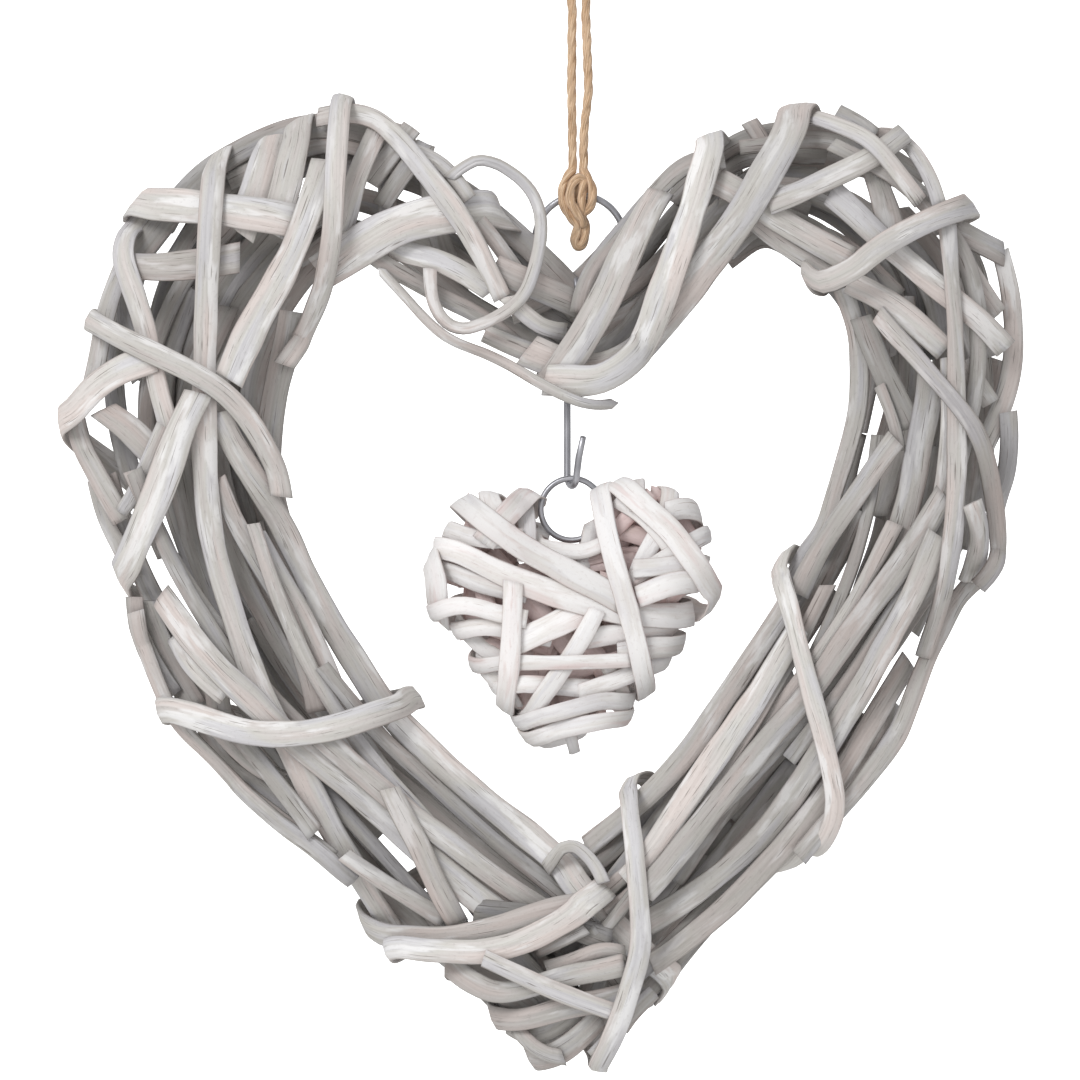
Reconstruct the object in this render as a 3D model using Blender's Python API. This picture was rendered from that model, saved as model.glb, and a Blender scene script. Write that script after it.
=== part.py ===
"""A heart-shaped wreath of whitewashed willow splints, hung by a jute loop.

The splints are split rods laid over one another round a hollow, heart-shaped bundle. A steel ring at the
dip carries the wreath, and a wire hook in it carries a small, filled splint heart. The object hangs: the
origin is where the cord's loop rests on a nail, +Z is up and the front faces -Y.
"""

import math

import bpy
import numpy as np
from mathutils.bvhtree import BVHTree

# Overall sizes of the two hearts
WREATH_WIDTH = 0.300
WREATH_DEPTH = 0.054
SMALL_HEART_WIDTH = 0.090
SMALL_HEART_DEPTH = 0.028

# Widths and thicknesses of the splints
BROAD = 0.0095
WIDE = 0.0080
MEDIUM = 0.0065
SLIM = 0.0050
THIN = 0.0034
SPLINT_THICKNESS = 0.0018
THIN_THICKNESS = 0.0026
SMALL_SPLINT_WIDTH = 0.0062
SMALL_SPLINT_THICKNESS = 0.0022

# Steel wire and jute
RING_DIAMETER = 0.0281
RING_WIRE = 0.0022
HOOK_WIRE = 0.0022
HOOK_BEND_RADIUS = 0.0036
HOOK_TURN = math.radians(58)
SMALL_RING_DIAMETER = 0.0195
SMALL_RING_WIRE = 0.0019
CORD_DIAMETER = 0.0030
CORD_STEP = 2.5
KNOT_SIZE = (0.0120, 0.0092, 0.0160)
KNOT_TAIL_WIDTH = 0.0056
KNOT_TAIL_BITE = 0.0030
KNOT_TAIL_TAPER = 0.8
HOOK_END_FLARE = 0.0008

# Clearances: between crossing splints, round the wires, and how deep fused splints bite
SPLINT_GAP = 0.0004
WIRE_GAP = 0.0003
BORE_GAP = 0.0004
FUSED_BITE = 0.0004

# How finely the splints are drawn
SEGMENT = 0.0132
BACK_SEGMENT = 0.0260
THIN_SEGMENT = 0.0065
SMALL_SEGMENT = 0.0092
BEND_POINTS = 8
WIRE_SIDES = 6
RING_TURNS = 22
SMALL_RING_TURNS = 18
BORE_SIDES = 8
BORE_TURNS = 32
KNOT_SEGMENTS = 12
KNOT_RINGS = 8
KNOT_TAIL_SIDES = 8

# Every place below is a share of its heart's width: on the real wreath and on the real small heart one
# share is a millimetre. Places are (across, up) in the front view, with the wreath's tip at (0, 0).
WREATH_SHARES = 300
SMALL_SHARES = 90
MM = WREATH_WIDTH / WREATH_SHARES
SMALL_MM = SMALL_HEART_WIDTH / SMALL_SHARES
# A route is read every LINE_STEP and its way out of the bundle every TURN_STEP, in the same shares, and
# smoothed over so many steps to each side. PILE_REACH is how far above a route the pile is looked for.
LINE_STEP = 1
LINE_BLUR = 3
TURN_STEP = 2
TURN_BLUR = 4
PILE_REACH = 16
SMALL_PILE_REACH = 8
ACROSS_SHARES = (-0.55, -0.25, 0.0, 0.25, 0.55)
STRETCH_STEPS = 5
STIFF_PASSES = 2
CLEARING_TRIES = 40

# The bundle: its middle line and half width, from the dip round to the tip
LEFT_ARM = [
    (0, 231, 15), (-26, 251, 22), (-54, 271, 22), (-77, 277, 25), (-99, 266, 29), (-117, 243, 31),
    (-126, 214, 31), (-125, 190, 30), (-118, 165, 28), (-106, 140, 27), (-93, 118, 27), (-77, 98, 26),
    (-57, 78, 26), (-36, 58, 26), (-16, 41, 26), (-3, 28, 26),
]
RIGHT_ARM = [
    (0, 231, 15), (20, 244, 15), (38, 264, 17), (55, 277, 20), (75, 276, 25), (95, 264, 27),
    (109, 246, 28), (113, 223, 27), (110, 196, 26), (103, 170, 26), (91, 145, 24), (76, 120, 24),
    (62, 100, 24), (46, 80, 24), (29, 60, 24), (14, 44, 24), (-1, 29, 25),
]
# The small heart's filled body in the same way, about its own middle
SMALL_BODY = [
    (-26, 18, 19), (-18, 12, 22), (-9, 5, 24), (0, -2, 25), (9, 6, 24), (17, 14, 22), (24, 20, 20),
    (-16, 2, 21), (-9, -8, 21), (-3, -18, 20), (-2, -28, 15), (-2, -38, 9), (14, 0, 20), (8, -10, 19),
]
SMALL_HEART_PLACE = (-2, 145)
SMALL_RING_RISE = 30.7

# How much of the bundle's depth the lowest splints keep, and how far stacked splints lean outwards
HOLLOW_SHARE = 0.74
OUTWARD_LEAN = 0.45
# The mark of a place on the bundle's outline, where a splint turns to the back, and of one on the back
EDGE = "edge"
BACK = "back"

# The splints of the wreath, from the lowest laid to the last. A place's third value is EDGE, BACK or a
# depth in front of the middle; without it the place lies on the front of the bundle.
RUNNERS = [
    ("first_fan_splint", WIDE, [(-93, 291, BACK), (-96, 296.5, EDGE), (-98, 287), (-101.5, 275), (-106, 262)]),
    ("second_fan_splint", BROAD, [(-84, 292, BACK), (-86.5, 299.5, EDGE), (-89, 288), (-92, 275), (-96, 262)]),
    ("upper_left_band", BROAD, [(-126, 268, BACK), (-141, 269, EDGE), (-130, 270.5), (-117, 270),
                                (-104, 268.5), (-90, 266)]),
    ("left_edge_splint", MEDIUM, [(-141.5, 267), (-142, 258), (-140, 247), (-137, 237), (-134, 226),
                                  (-131.5, 213), (-127, 198)]),
    ("left_turning_band", BROAD, [(-133, 223), (-146, 217.5), (-154, 211.5), (-158.5, 204.5, EDGE),
                                  (-150, 194, BACK), (-140, 184, BACK)]),
    ("left_slant_splint", BROAD, [(-119, 212), (-124.5, 200), (-128, 190), (-131.5, 180), (-135.5, 170),
                                  (-139.5, 160), (-143, 151.5, EDGE), (-132, 144, BACK)]),
    ("left_inner_runner", WIDE, [(-113, 206), (-107, 194), (-101, 184), (-95, 174), (-89, 162), (-83, 149.5),
                                 (-76, 137), (-69, 126), (-61, 114), (-52, 104)]),
    ("left_long_runner", WIDE, [(-112, 283, BACK), (-112.5, 290.5, EDGE), (-114, 275), (-116, 250),
                                (-117, 222), (-117, 190), (-114.5, 165), (-108, 143), (-100, 120), (-91, 103),
                                (-81, 83), (-70, 63), (-59, 44)]),
    ("left_cross_runner", WIDE, [(-136, 154), (-129, 146), (-120, 135.5), (-110, 124.5), (-99, 113.5),
                                 (-88, 103), (-75, 92.5), (-62, 81), (-48, 68), (-33, 55), (-24, 48)]),
    ("lower_left_edge_splint", SLIM, [(-138, 147), (-135.5, 138), (-131.5, 127), (-124, 112), (-114, 101),
                                      (-103, 88.5), (-92, 79), (-79, 69.5), (-70, 60)]),
    ("lower_left_runner", WIDE, [(-81, 105), (-72, 97), (-62, 88), (-52, 80), (-42, 72.5), (-31, 64),
                                 (-20, 56), (-9, 49)]),
    ("inner_left_runner", WIDE, [(-58, 110), (-50, 102), (-42, 94.5), (-32, 86), (-21, 77), (-12, 69),
                                 (-4, 61), (5, 52), (14, 42.5), (21, 36), (27, 31.5), (29, 26)]),
    ("left_thick_splint", BROAD, [(-81, 250), (-72, 256.5), (-63, 261.5), (-54, 265.5), (-46, 266.5),
                                  (-41, 264)]),
    ("left_top_splint", MEDIUM, [(-73, 292, BACK), (-74.5, 303, EDGE), (-75.5, 288), (-76.5, 272),
                                 (-78.5, 256), (-83, 241), (-88.5, 228), (-94, 214), (-98, 199)]),
    ("left_bright_splint", BROAD, [(-79, 285), (-82.5, 274), (-86.5, 263.5), (-91, 253.5), (-96, 244),
                                   (-101, 235), (-105.5, 226), (-109.5, 216)]),
    ("dip_shoulder_band", BROAD, [(-44, 270), (-34, 270.5), (-26, 271), (-20.5, 268, EDGE), (-22, 258, BACK)]),
    ("dip_cross_band", WIDE, [(-25, 251, 10), (-17, 247, 11.5), (-9, 243.5, 11.5), (0, 240, 10.5)]),
    ("upper_dip_splint", MEDIUM, [(-82, 299), (-73, 299.5), (-65, 297.5), (-58.5, 292.5), (-52, 285.5),
                                  (-45.5, 277.5), (-38.5, 268.5), (-32.5, 259), (-28, 250.5), (-24, 242.5)]),
    ("left_cross_band", MEDIUM, [(-153.5, 235.5), (-143, 229.5), (-132, 224), (-120, 218), (-111, 212),
                                 (-104.5, 204.5), (-99.5, 195.5), (-96, 187), (-94.5, 179)]),
    ("inner_right_edge_splint", SLIM, [(83, 245), (87, 234), (88.5, 221), (88, 208), (85, 195), (81, 182),
                                       (77, 169), (71, 160.5), (67, 152)]),
    ("right_grey_splint", WIDE, [(111, 219), (109, 206), (106.5, 194), (104.5, 182), (101, 169), (95, 156),
                                 (87, 144)]),
    ("right_inner_splint", WIDE, [(100, 198), (93, 188), (86.5, 178), (80, 168.5), (74, 159), (69, 149)]),
    ("inner_right_runner", MEDIUM, [(67, 148), (60, 137), (52.5, 125.5), (45, 114.5), (38, 104), (30, 94),
                                    (21, 84.5), (12, 76), (4, 69)]),
    ("second_right_runner", WIDE, [(70, 139), (63.5, 128), (57, 117), (50, 107), (43, 97), (36, 87),
                                   (29, 77), (22, 67), (15, 59)]),
    ("middle_right_runner", WIDE, [(114, 180), (107, 168), (99, 156), (91, 145), (83, 134), (75, 122),
                                   (68, 113), (60, 104), (52, 94), (44, 84), (36, 74), (28, 64), (20, 55)]),
    ("right_long_runner", WIDE, [(112, 168), (104, 149), (96, 134), (89, 121), (82, 110), (75, 99), (68, 88),
                                 (61, 78), (53, 69), (44, 61), (33, 53), (22, 46)]),
    ("outer_right_runner", WIDE, [(104, 128), (97, 118), (90, 108), (84, 98), (77, 88), (70, 79), (62, 69.5),
                                  (54, 60.5), (46, 52), (38, 45), (30, 38.5), (22, 33)]),
    ("right_edge_splint", SLIM, [(127, 155), (120, 148), (114, 139), (107.5, 128), (102, 117.5), (96, 106.5),
                                 (89, 97), (82, 88)]),
    ("right_diagonal_splint", MEDIUM, [(79, 275), (86, 269), (92, 263), (98, 257.5), (105, 251.5),
                                       (112, 245.5), (119, 240), (126, 234), (132, 227)]),
    ("right_bright_splint", WIDE, [(85, 247), (94, 242.5), (102, 237), (108.5, 231.5), (115, 225.5)]),
    ("right_upright_splint", MEDIUM, [(115, 265), (116.5, 250), (117.5, 235), (118, 220), (118, 205),
                                      (118, 190), (117, 176), (115, 161), (112.5, 147), (107.5, 131)]),
    ("outer_right_splint", MEDIUM, [(128, 260), (133.5, 257, 3), (136, 247), (137, 236), (137, 225),
                                    (135, 213), (131, 203), (126, 193)]),
    ("right_curved_splint", MEDIUM, [(90, 241.5), (96.5, 233.5), (104, 225.5), (111, 217), (118, 208.5),
                                     (123.5, 200.5), (127, 191), (129, 181), (129.5, 170), (128, 160),
                                     (123.5, 153)]),
    ("right_shoulder_splint", SLIM, [(94, 293.5), (100, 294), (104, 289.5), (107.5, 283), (110.5, 276.5),
                                     (113, 269)]),
    ("upper_right_splint", MEDIUM, [(60, 271.5), (68, 274.5), (76, 278), (84, 281.5), (92, 285.5),
                                    (100, 291)]),
    ("third_dip_splint", WIDE, [(2, 216.5, 8), (10, 219, 10), (18, 224.5), (25, 232.5), (32, 242),
                                (39.5, 252), (47.5, 262.5), (55, 273.5), (61, 284), (66.5, 293.5),
                                (71, 301.5, EDGE), (73, 292, BACK)]),
    ("first_dip_splint", BROAD, [(-3, 223, 11), (3, 232, 12), (8.5, 241, 12.5), (13.5, 251, 12),
                                 (18.5, 260.5, 9), (23.5, 269, 6), (28, 275.5, 2)]),
    ("second_dip_splint", BROAD, [(13, 221, 12), (20.5, 230), (25.5, 241), (29.5, 252), (33.5, 263),
                                  (37.5, 274), (41, 283), (45, 291.5, EDGE), (48, 281, BACK)]),
]
BINDINGS = [
    ("left_binding", WIDE, [(-112, 122, BACK), (-124, 119, BACK), (-129.5, 117.5, EDGE), (-121, 113.5),
                            (-111, 109.5), (-101, 106.5), (-92, 105.7), (-83, 106.2), (-74, 108),
                            (-64, 111), (-52.5, 113, EDGE), (-62, 120, BACK), (-74, 124, BACK)]),
    ("tip_binding", MEDIUM, [(-52, 56, BACK), (-66.5, 48.5, EDGE), (-60, 43), (-50, 42.5), (-40, 42.5),
                             (-30, 43.7), (-20, 46.5), (-10, 49.5), (0, 51)]),
    ("second_tip_binding", WIDE, [(-46, 46, BACK), (-57, 40, EDGE), (-48, 38), (-38, 37.3), (-28, 37.4),
                                  (-19, 40), (-10, 44), (-2, 48.5), (5, 53), (9.5, 57)]),
    ("tip_band", MEDIUM, [(-30, 36, BACK), (-38.5, 31, EDGE), (-32, 25.5), (-24, 24.5), (-15, 26.7),
                          (-5, 29.5), (5, 31.5), (13, 33.5)]),
    ("lower_tip_band", WIDE, [(-20, 22, BACK), (-27, 18, EDGE), (-20, 16.5), (-11, 18), (-3, 20.5),
                              (6, 22), (12, 23.5)]),
    ("right_binding", WIDE, [(108, 276, BACK), (123, 270.5, EDGE), (113, 267), (103, 262.5), (94, 257.5),
                             (86, 251.5), (79, 249.5, EDGE), (84, 258, BACK)]),
    ("right_wrap_splint", MEDIUM, [(78, 166, BACK), (68.5, 160.5, EDGE), (66.5, 152), (67.8, 143), (70, 131),
                                   (72.7, 119), (75.3, 108), (77.5, 97), (78, 88), (73.5, 76.5), (67, 68),
                                   (61.5, 60, EDGE)]),
    ("tip_wrap_splint", MEDIUM, [(27, 95, BACK), (19.5, 92, EDGE), (18.3, 82), (18.3, 70), (18.8, 58),
                                 (19.3, 48), (18.8, 38), (15.5, 28), (11, 17), (6.5, 8), (1.5, 1.5, EDGE)]),
]
# Thin round splints that leave the bundle, with the depth of each place in front of the middle
TENDRILS = [
    ("curled_tendril", THIN, [(-46.5, 251, 17), (-46, 243, 18), (-43, 235.5, 18.5), (-38, 232, 18.5),
                              (-30, 234, 18.5), (-22, 238, 19), (-17, 242.5, 19), (-14, 251, 18),
                              (-12, 260, 15), (-12.3, 269, 11), (-16, 275.5, 8), (-23, 279.5, 5),
                              (-29, 281.5, 3), (-35, 279, 1)]),
    ("dip_twig", THIN, [(-59, 251, 8), (-54, 245, 10), (-48, 238, 12), (-40, 230.5, 14), (-30, 225.5, 15),
                        (-20, 220.5, 15.5), (-10, 215.5, 15.5), (2, 210.5, 14.5), (12, 209, 13)]),
]
# The splint that runs through the hanging ring over the ring's lowest wire
RING_SPLINT = ("ring_splint", SLIM, [(-21, 237, 2), (-12, 240.5, 2), (-4, 244.5, 1.5), (3.5, 251, -2),
                                     (9, 257.5, -6), (14, 264, -10)])

# Splints of the back: arm, first and last station along it, and the places across it as shares of the
# half width, outwards positive on the left arm
BACK_RUNNERS = [
    ("left_back_outer_splint", LEFT_ARM, 4, 11, 0.18, 0.15),
    ("left_back_lower_splint", LEFT_ARM, 8, 15, -0.45, 0.0),
    ("right_back_outer_splint", RIGHT_ARM, 6, 13, -0.38, -0.25),
    ("right_back_lower_splint", RIGHT_ARM, 9, 16, -0.12, 0.40),
]
# The lower layer of the back, fused where its splints cross, in the same way
BACK_LAYER = [
    (LEFT_ARM, 1, 8, -0.62, -0.30), (LEFT_ARM, 2, 9, 0.66, -0.25), (LEFT_ARM, 3, 9, -0.30, 0.10),
    (LEFT_ARM, 5, 12, -0.10, -0.45), (LEFT_ARM, 6, 14, -0.60, 0.0), (LEFT_ARM, 8, 14, 0.0, 0.85),
    (LEFT_ARM, 10, 15, 0.30, -0.45),
    (RIGHT_ARM, 1, 7, 0.15, 0.85), (RIGHT_ARM, 1, 5, 0.45, -0.75), (RIGHT_ARM, 6, 13, 0.60, -0.35),
    (RIGHT_ARM, 6, 14, -0.15, 0.10), (RIGHT_ARM, 5, 12, -0.02, -0.45), (RIGHT_ARM, 9, 16, 0.88, 0.10),
    (RIGHT_ARM, 11, 16, -0.62, -0.30),
]

# The small heart's splints about its own middle, lowest first
SMALL_SPLINTS = [
    [(-9, 10, 6.5), (-6, 18, 6.5), (-3, 24.5, 4), (0, 26.5, 0), (3, 24.5, -4), (6, 18, -6.5), (9, 10, -6.5)],
    [(0, 12, BACK), (-13, 20, EDGE), (-5, 18), (3, 17), (10, 20)],
    [(-38, 12, BACK), (-43, 19, EDGE), (-35, 17), (-26, 13), (-19, 9.5), (-10, 5.5), (-1, 1.5), (9, -1),
     (20, -2.5), (32, -2), (38.5, -2, EDGE), (30, 2, BACK)],
    [(-21, 28, BACK), (-27.5, 38.5, EDGE), (-25, 32), (-22, 26), (-17, 18)],
    [(-8.5, 40, 3.5), (-15.5, 34, 5.5), (-22, 27), (-28, 20)],
    [(-32, 4, BACK), (-40.5, 1, EDGE), (-33, 0), (-23, -2), (-14, -3)],
    [(-28, -4, BACK), (-37, -5, EDGE), (-31, -11), (-24, -16), (-18, -20)],
    [(-18, -7), (-9, -6), (0, -3), (7, 2)],
    [(20, 28, BACK), (33, 41, EDGE), (30.5, 33), (27, 25), (21.5, 15), (17, 6)],
    [(38, 17, BACK), (41.5, 28, EDGE), (34, 30), (27, 29)],
    [(38, 14, BACK), (44.5, 22, EDGE), (36, 19), (27, 13.5), (19, 9)],
    [(32, 6, BACK), (42, 10, EDGE), (34, 8.5), (26, 6), (18, 3)],
    [(8, -1), (4, -8.5), (0, -16), (-5, -23), (-9, -31), (-12, -37, EDGE), (-6, -34, BACK)],
    [(-16, -9, BACK), (-29, -17, EDGE), (-20, -17), (-8, -17.5), (5, -17.3), (17, -16.5), (24, -15)],
    [(16, -12), (24, -12), (33, -10, EDGE), (26, -4, BACK)],
    [(-20, 6), (-19, -4), (-19, -14), (-19, -23), (-17, -30, EDGE), (-9, -26, BACK)],
    [(-4, -31, BACK), (-14.5, -35.5, EDGE), (-6, -34.5), (3, -32.5), (13, -29, EDGE), (8, -22, BACK)],
    [(0, -43, BACK), (-10, -40, EDGE), (-3, -38.8), (4, -37), (11, -34.5, EDGE), (6, -30, BACK)],
    [(0, -36), (0, -42), (0.5, -46.5, EDGE), (0, -38, BACK)],
    [(-28, 26, BACK), (-38, 36, EDGE), (-31, 30.5), (-24, 24.5), (-16, 19), (-7, 14), (2, 9), (10, 5)],
    [(12, 32, BACK), (20.5, 43, EDGE), (20.5, 36), (21, 30)],
    [(11, 39, 3.5), (17, 35.5, 4), (24, 30.5), (30.5, 24.5), (36, 17), (41, 9),
     (43.5, 3, EDGE), (34, 4, BACK)],
    [(8, 39.5, 4), (9, 34, 6), (10.5, 27), (12.5, 18), (15, 9), (17.5, 0), (19.5, -8), (21, -16),
     (21, -24, EDGE), (14, -20, BACK)],
]
SMALL_BACK_SPLINTS = [
    [(-42, 12, EDGE), (-28, 12, BACK), (-12, 8, BACK), (4, 2, BACK), (20, -6, BACK), (34, -12, EDGE)],
    [(-30, 32, EDGE), (-24, 20, BACK), (-14, 2, BACK), (-6, -14, BACK), (2, -30, BACK), (4, -40, EDGE)],
    [(28, 36, EDGE), (22, 22, BACK), (12, 4, BACK), (4, -12, BACK), (-4, -28, BACK), (-8, -40, EDGE)],
    [(42, 16, EDGE), (26, 14, BACK), (8, 10, BACK), (-8, 14, BACK), (-20, 24, BACK), (-26, 36, EDGE)],
    [(-36, -8, EDGE), (-22, -10, BACK), (-4, -14, BACK), (12, -14, BACK), (26, -18, EDGE)],
]

# The twine's own route: the loop's two strands and the bow over the nail, in millimetres as read off
CORD_ROUTE = [
    (-1.75, 281.5, 0.0), (-1.7, 288, 0.2), (-1.9, 300, 0.2), (-2.0, 312, 0.0), (-1.9, 325, -0.2),
    (-2.2, 337, 0.0), (-4.4, 345, 0.2), (-6.4, 352, 0.2), (-4.9, 357.8, 0.1), (0.0, 360.0, 0.0),
    (4.9, 357.8, -0.1), (6.6, 352, -0.2), (5.0, 345, -0.2), (2.8, 337, 0.0), (2.7, 325, 0.2),
    (3.1, 315, 0.3), (3.2, 307, 0.2), (2.2, 298, 0.0), (1.75, 289, 0.0), (1.7, 281.5, 0.0),
]
CORD_TOP = 360.0
RING_PLACE = (0.6, 260.6)
HOOK_ACROSS = -1.9
HOOK_TAIL_END = 209.5
HOOK_SPINE_END = 198.4
KNOT_PLACE = (0.0, 273.5)
KNOT_TAIL_END = 257.0

# Colours of the finishes as linear red, green and blue
WILLOW = (0.56, 0.54, 0.52)
WHITE_PAINT = (0.80, 0.79, 0.77)
STEEL = (0.36, 0.36, 0.37)
JUTE = (0.50, 0.33, 0.17)


def clear_scene():
    for item in list(bpy.data.objects):
        bpy.data.objects.remove(item)


def make_material(name, colour, roughness, metallic=0.0):
    material = bpy.data.materials.new(name)
    material.use_nodes = True
    shader = material.node_tree.nodes["Principled BSDF"]
    shader.inputs["Base Color"].default_value = (*colour, 1.0)
    shader.inputs["Roughness"].default_value = roughness
    shader.inputs["Metallic"].default_value = metallic
    return material


class Body:
    """A rounded body that splints are laid on: ellipses along middle lines, seen from the front."""

    def __init__(self, lines, unit, depth, between=6):
        self.unit = unit
        rows = []
        for line in lines:
            line = np.array(line, float)
            for first, second in zip(line[:-1], line[1:]):
                for step in range(between):
                    rows.append(first + (second - first) * step / between)
            rows.append(line[-1])
        rows = np.array(rows) * unit
        self.middle = rows[:, :2]
        self.radius = rows[:, 2]
        self.half_depth = HOLLOW_SHARE * depth / 2 * np.sqrt(self.radius / self.radius.max())

    def nearest(self, across, up):
        """The body's half depth at a place of the front view, and the section that gives it."""
        offset = np.array([across, up]) - self.middle
        distance = np.hypot(offset[:, 0], offset[:, 1])
        inside = 1 - (distance / self.radius) ** 2
        heights = self.half_depth * np.sqrt(np.clip(inside, 0, None))
        if heights.max() > 0:
            best = int(heights.argmax())
        else:
            best = int((distance - self.radius).argmin())
        return heights[best], best, offset[best]

    def normal(self, point):
        """The way out of the body at a point, which leans less to the side than the body does."""
        _, best, offset = self.nearest(point[0], point[2])
        side = OUTWARD_LEAN * offset / self.radius[best] ** 2
        out = np.array([side[0], point[1] / self.half_depth[best] ** 2, side[1]])
        length = np.linalg.norm(out)
        return out / length if length > 1e-9 else np.array([0.0, -1.0, 0.0])


def curve_through(places, steps=24):
    """Points of a smooth curve through the places, each with the number of its stretch and share in it."""
    places = np.array(places, float)
    chord = np.linalg.norm(np.diff(places, axis=0), axis=1)
    time = np.concatenate([[0], np.cumsum(chord)])
    slopes = np.gradient(places, time, axis=0)
    points = []
    for index in range(len(places) - 1):
        length = time[index + 1] - time[index]
        for step in range(steps + (index == len(places) - 2)):
            share = step / steps
            square, cube = share * share, share**3
            point = (
                (2 * cube - 3 * square + 1) * places[index]
                + (cube - 2 * square + share) * length * slopes[index]
                + (3 * square - 2 * cube) * places[index + 1]
                + (cube - square) * length * slopes[index + 1]
            )
            points.append((index, share, point))
    return points


def even_points(points, spacing):
    """The same polyline with its points evenly spaced."""
    travelled = np.concatenate([[0], np.cumsum(np.linalg.norm(np.diff(points, axis=0), axis=1))])
    count = max(2, int(round(travelled[-1] / spacing)))
    marks = np.linspace(0, travelled[-1], count + 1)
    return np.stack([np.interp(marks, travelled, points[:, axis]) for axis in range(3)], axis=1)


def blurred(rows, reach, passes=2):
    """Rows averaged with their neighbours, with the first and last kept."""
    rows = rows.copy()
    for _ in range(passes):
        padded = np.concatenate([np.repeat(rows[:1], reach, 0), rows, np.repeat(rows[-1:], reach, 0)])
        mean = sum(padded[shift : shift + len(rows)] for shift in range(2 * reach + 1)) / (2 * reach + 1)
        mean[0], mean[-1] = rows[0], rows[-1]
        rows = mean
    return rows


def route_on(body, places, spacing):
    """Nodes of a splint's middle line on a body, evenly spaced, and the way out of the body at each."""
    unit = body.unit
    flat = [(place[0] * unit, place[1] * unit) for place in places]
    rules = [place[2] if len(place) > 2 else None for place in places]
    points = []
    for index, share, (across, up) in curve_through(flat):
        first, second = rules[index], rules[index + 1]
        side = -1 if BACK in (first, second) else 1
        on_surface = side * body.nearest(across, up)[0]
        starts = on_surface if first in (None, EDGE, BACK) else first * unit
        ends = on_surface if second in (None, EDGE, BACK) else second * unit
        points.append((across, -(starts + (ends - starts) * share), up))
    fine = blurred(even_points(np.array(points), LINE_STEP * unit), LINE_BLUR)
    nodes = even_points(fine, spacing)
    outward = np.array([body.normal(point) for point in even_points(fine, TURN_STEP * unit)])
    outward = blurred(outward, TURN_BLUR)
    picks = np.linspace(0, len(outward) - 1, len(nodes)).round().astype(int)
    return nodes, outward[picks]


def frames(nodes, outward):
    """The width direction and the outward direction at each node, square to the splint."""
    along = np.gradient(nodes, axis=0)
    along /= np.linalg.norm(along, axis=1, keepdims=True)
    outward = outward - along * (outward * along).sum(1, keepdims=True)
    outward /= np.linalg.norm(outward, axis=1, keepdims=True)
    return np.cross(along, outward), outward


def splint_mesh(nodes, across, outward, width, thickness):
    """A bar of rectangular section along the nodes, as vertices and triangles facing out."""
    corners = []
    for node, side, up in zip(nodes, across, outward):
        for right, top in ((1, -1), (1, 1), (-1, 1), (-1, -1)):
            corners.append(node + side * right * width / 2 + up * top * thickness / 2)
    triangles = []
    for ring in range(len(nodes) - 1):
        start = 4 * ring
        for edge in range(4):
            first, second = start + edge, start + (edge + 1) % 4
            triangles += [(first, first + 4, second), (second, first + 4, second + 4)]
    last = 4 * (len(nodes) - 1)
    triangles += [(0, 1, 2), (0, 2, 3), (last, last + 2, last + 1), (last, last + 3, last + 2)]
    return np.array(corners), triangles


def signed_volume(corners, triangles):
    return sum(np.dot(corners[a], np.cross(corners[b], corners[c])) for a, b, c in triangles) / 6


class Pile:
    """Splints already laid, which the next one rides over."""

    def __init__(self):
        self.corners = []
        self.triangles = []

    def add(self, corners, triangles):
        start = len(self.corners)
        self.corners += [tuple(corner) for corner in corners]
        self.triangles += [tuple(start + index for index in triangle) for triangle in triangles]

    def tree(self):
        if not self.triangles:
            return None
        return BVHTree.FromPolygons(self.corners, self.triangles)


def heights_below(tree, nodes, across, outward, width, reach):
    """For each stretch between nodes, the highest that the pile stands above the splint's middle line."""
    needed = np.full(len(nodes) - 1, -reach)
    for stretch in range(len(nodes) - 1):
        for step in range(STRETCH_STEPS + 1):
            share = step / STRETCH_STEPS
            point = nodes[stretch] * (1 - share) + nodes[stretch + 1] * share
            side = across[stretch] * (1 - share) + across[stretch + 1] * share
            out = outward[stretch] * (1 - share) + outward[stretch + 1] * share
            out /= np.linalg.norm(out)
            for part in ACROSS_SHARES:
                start = point + side * part * width + out * reach
                hit, _, _, distance = tree.ray_cast(start.tolist(), (-out).tolist(), 1.6 * reach)
                if hit is not None:
                    needed[stretch] = max(needed[stretch], reach - distance)
    return needed


def lay(pile, nodes, outward, width, thickness, gap):
    """The mesh of a splint laid over the pile along the nodes, clear of it by the gap."""
    across, outward = frames(nodes, outward)
    lifts = np.zeros(len(nodes))
    tree = pile.tree()
    if tree is not None:
        needed = heights_below(tree, nodes, across, outward, width, PILE_REACH * MM) + thickness / 2 + gap
        needed = np.clip(needed, 0, None)
        lifts[:-1] = needed
        lifts[1:] = np.maximum(lifts[1:], needed)
        for _ in range(STIFF_PASSES):
            spread = lifts.copy()
            spread[1:-1] = (lifts[:-2] + lifts[2:]) / 2
            lifts = np.maximum(lifts, spread)
    for _ in range(CLEARING_TRIES):
        corners, triangles = splint_mesh(nodes + outward * lifts[:, None], across, outward, width, thickness)
        if tree is None:
            break
        clashes = BVHTree.FromPolygons(corners.tolist(), triangles).overlap(tree)
        if not clashes:
            break
        for face in {clash[0] for clash in clashes}:
            stretch = min(face // 8, len(nodes) - 2)
            lifts[stretch] += gap / 2
            lifts[stretch + 1] += gap / 2
    return corners, triangles


def add_mesh(name, corners, triangles, material, parent):
    if signed_volume(corners, triangles) < 0:
        triangles = [triangle[::-1] for triangle in triangles]
    mesh = bpy.data.meshes.new(name)
    mesh.from_pydata([tuple(corner) for corner in corners], [], triangles)
    mesh.materials.append(material)
    return add_object(name, mesh, parent)


def add_object(name, data, parent):
    item = bpy.data.objects.new(name, data)
    bpy.context.scene.collection.objects.link(item)
    item.parent = parent
    return item


def thickness_of(width):
    return THIN_THICKNESS if width == THIN else SPLINT_THICKNESS


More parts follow.
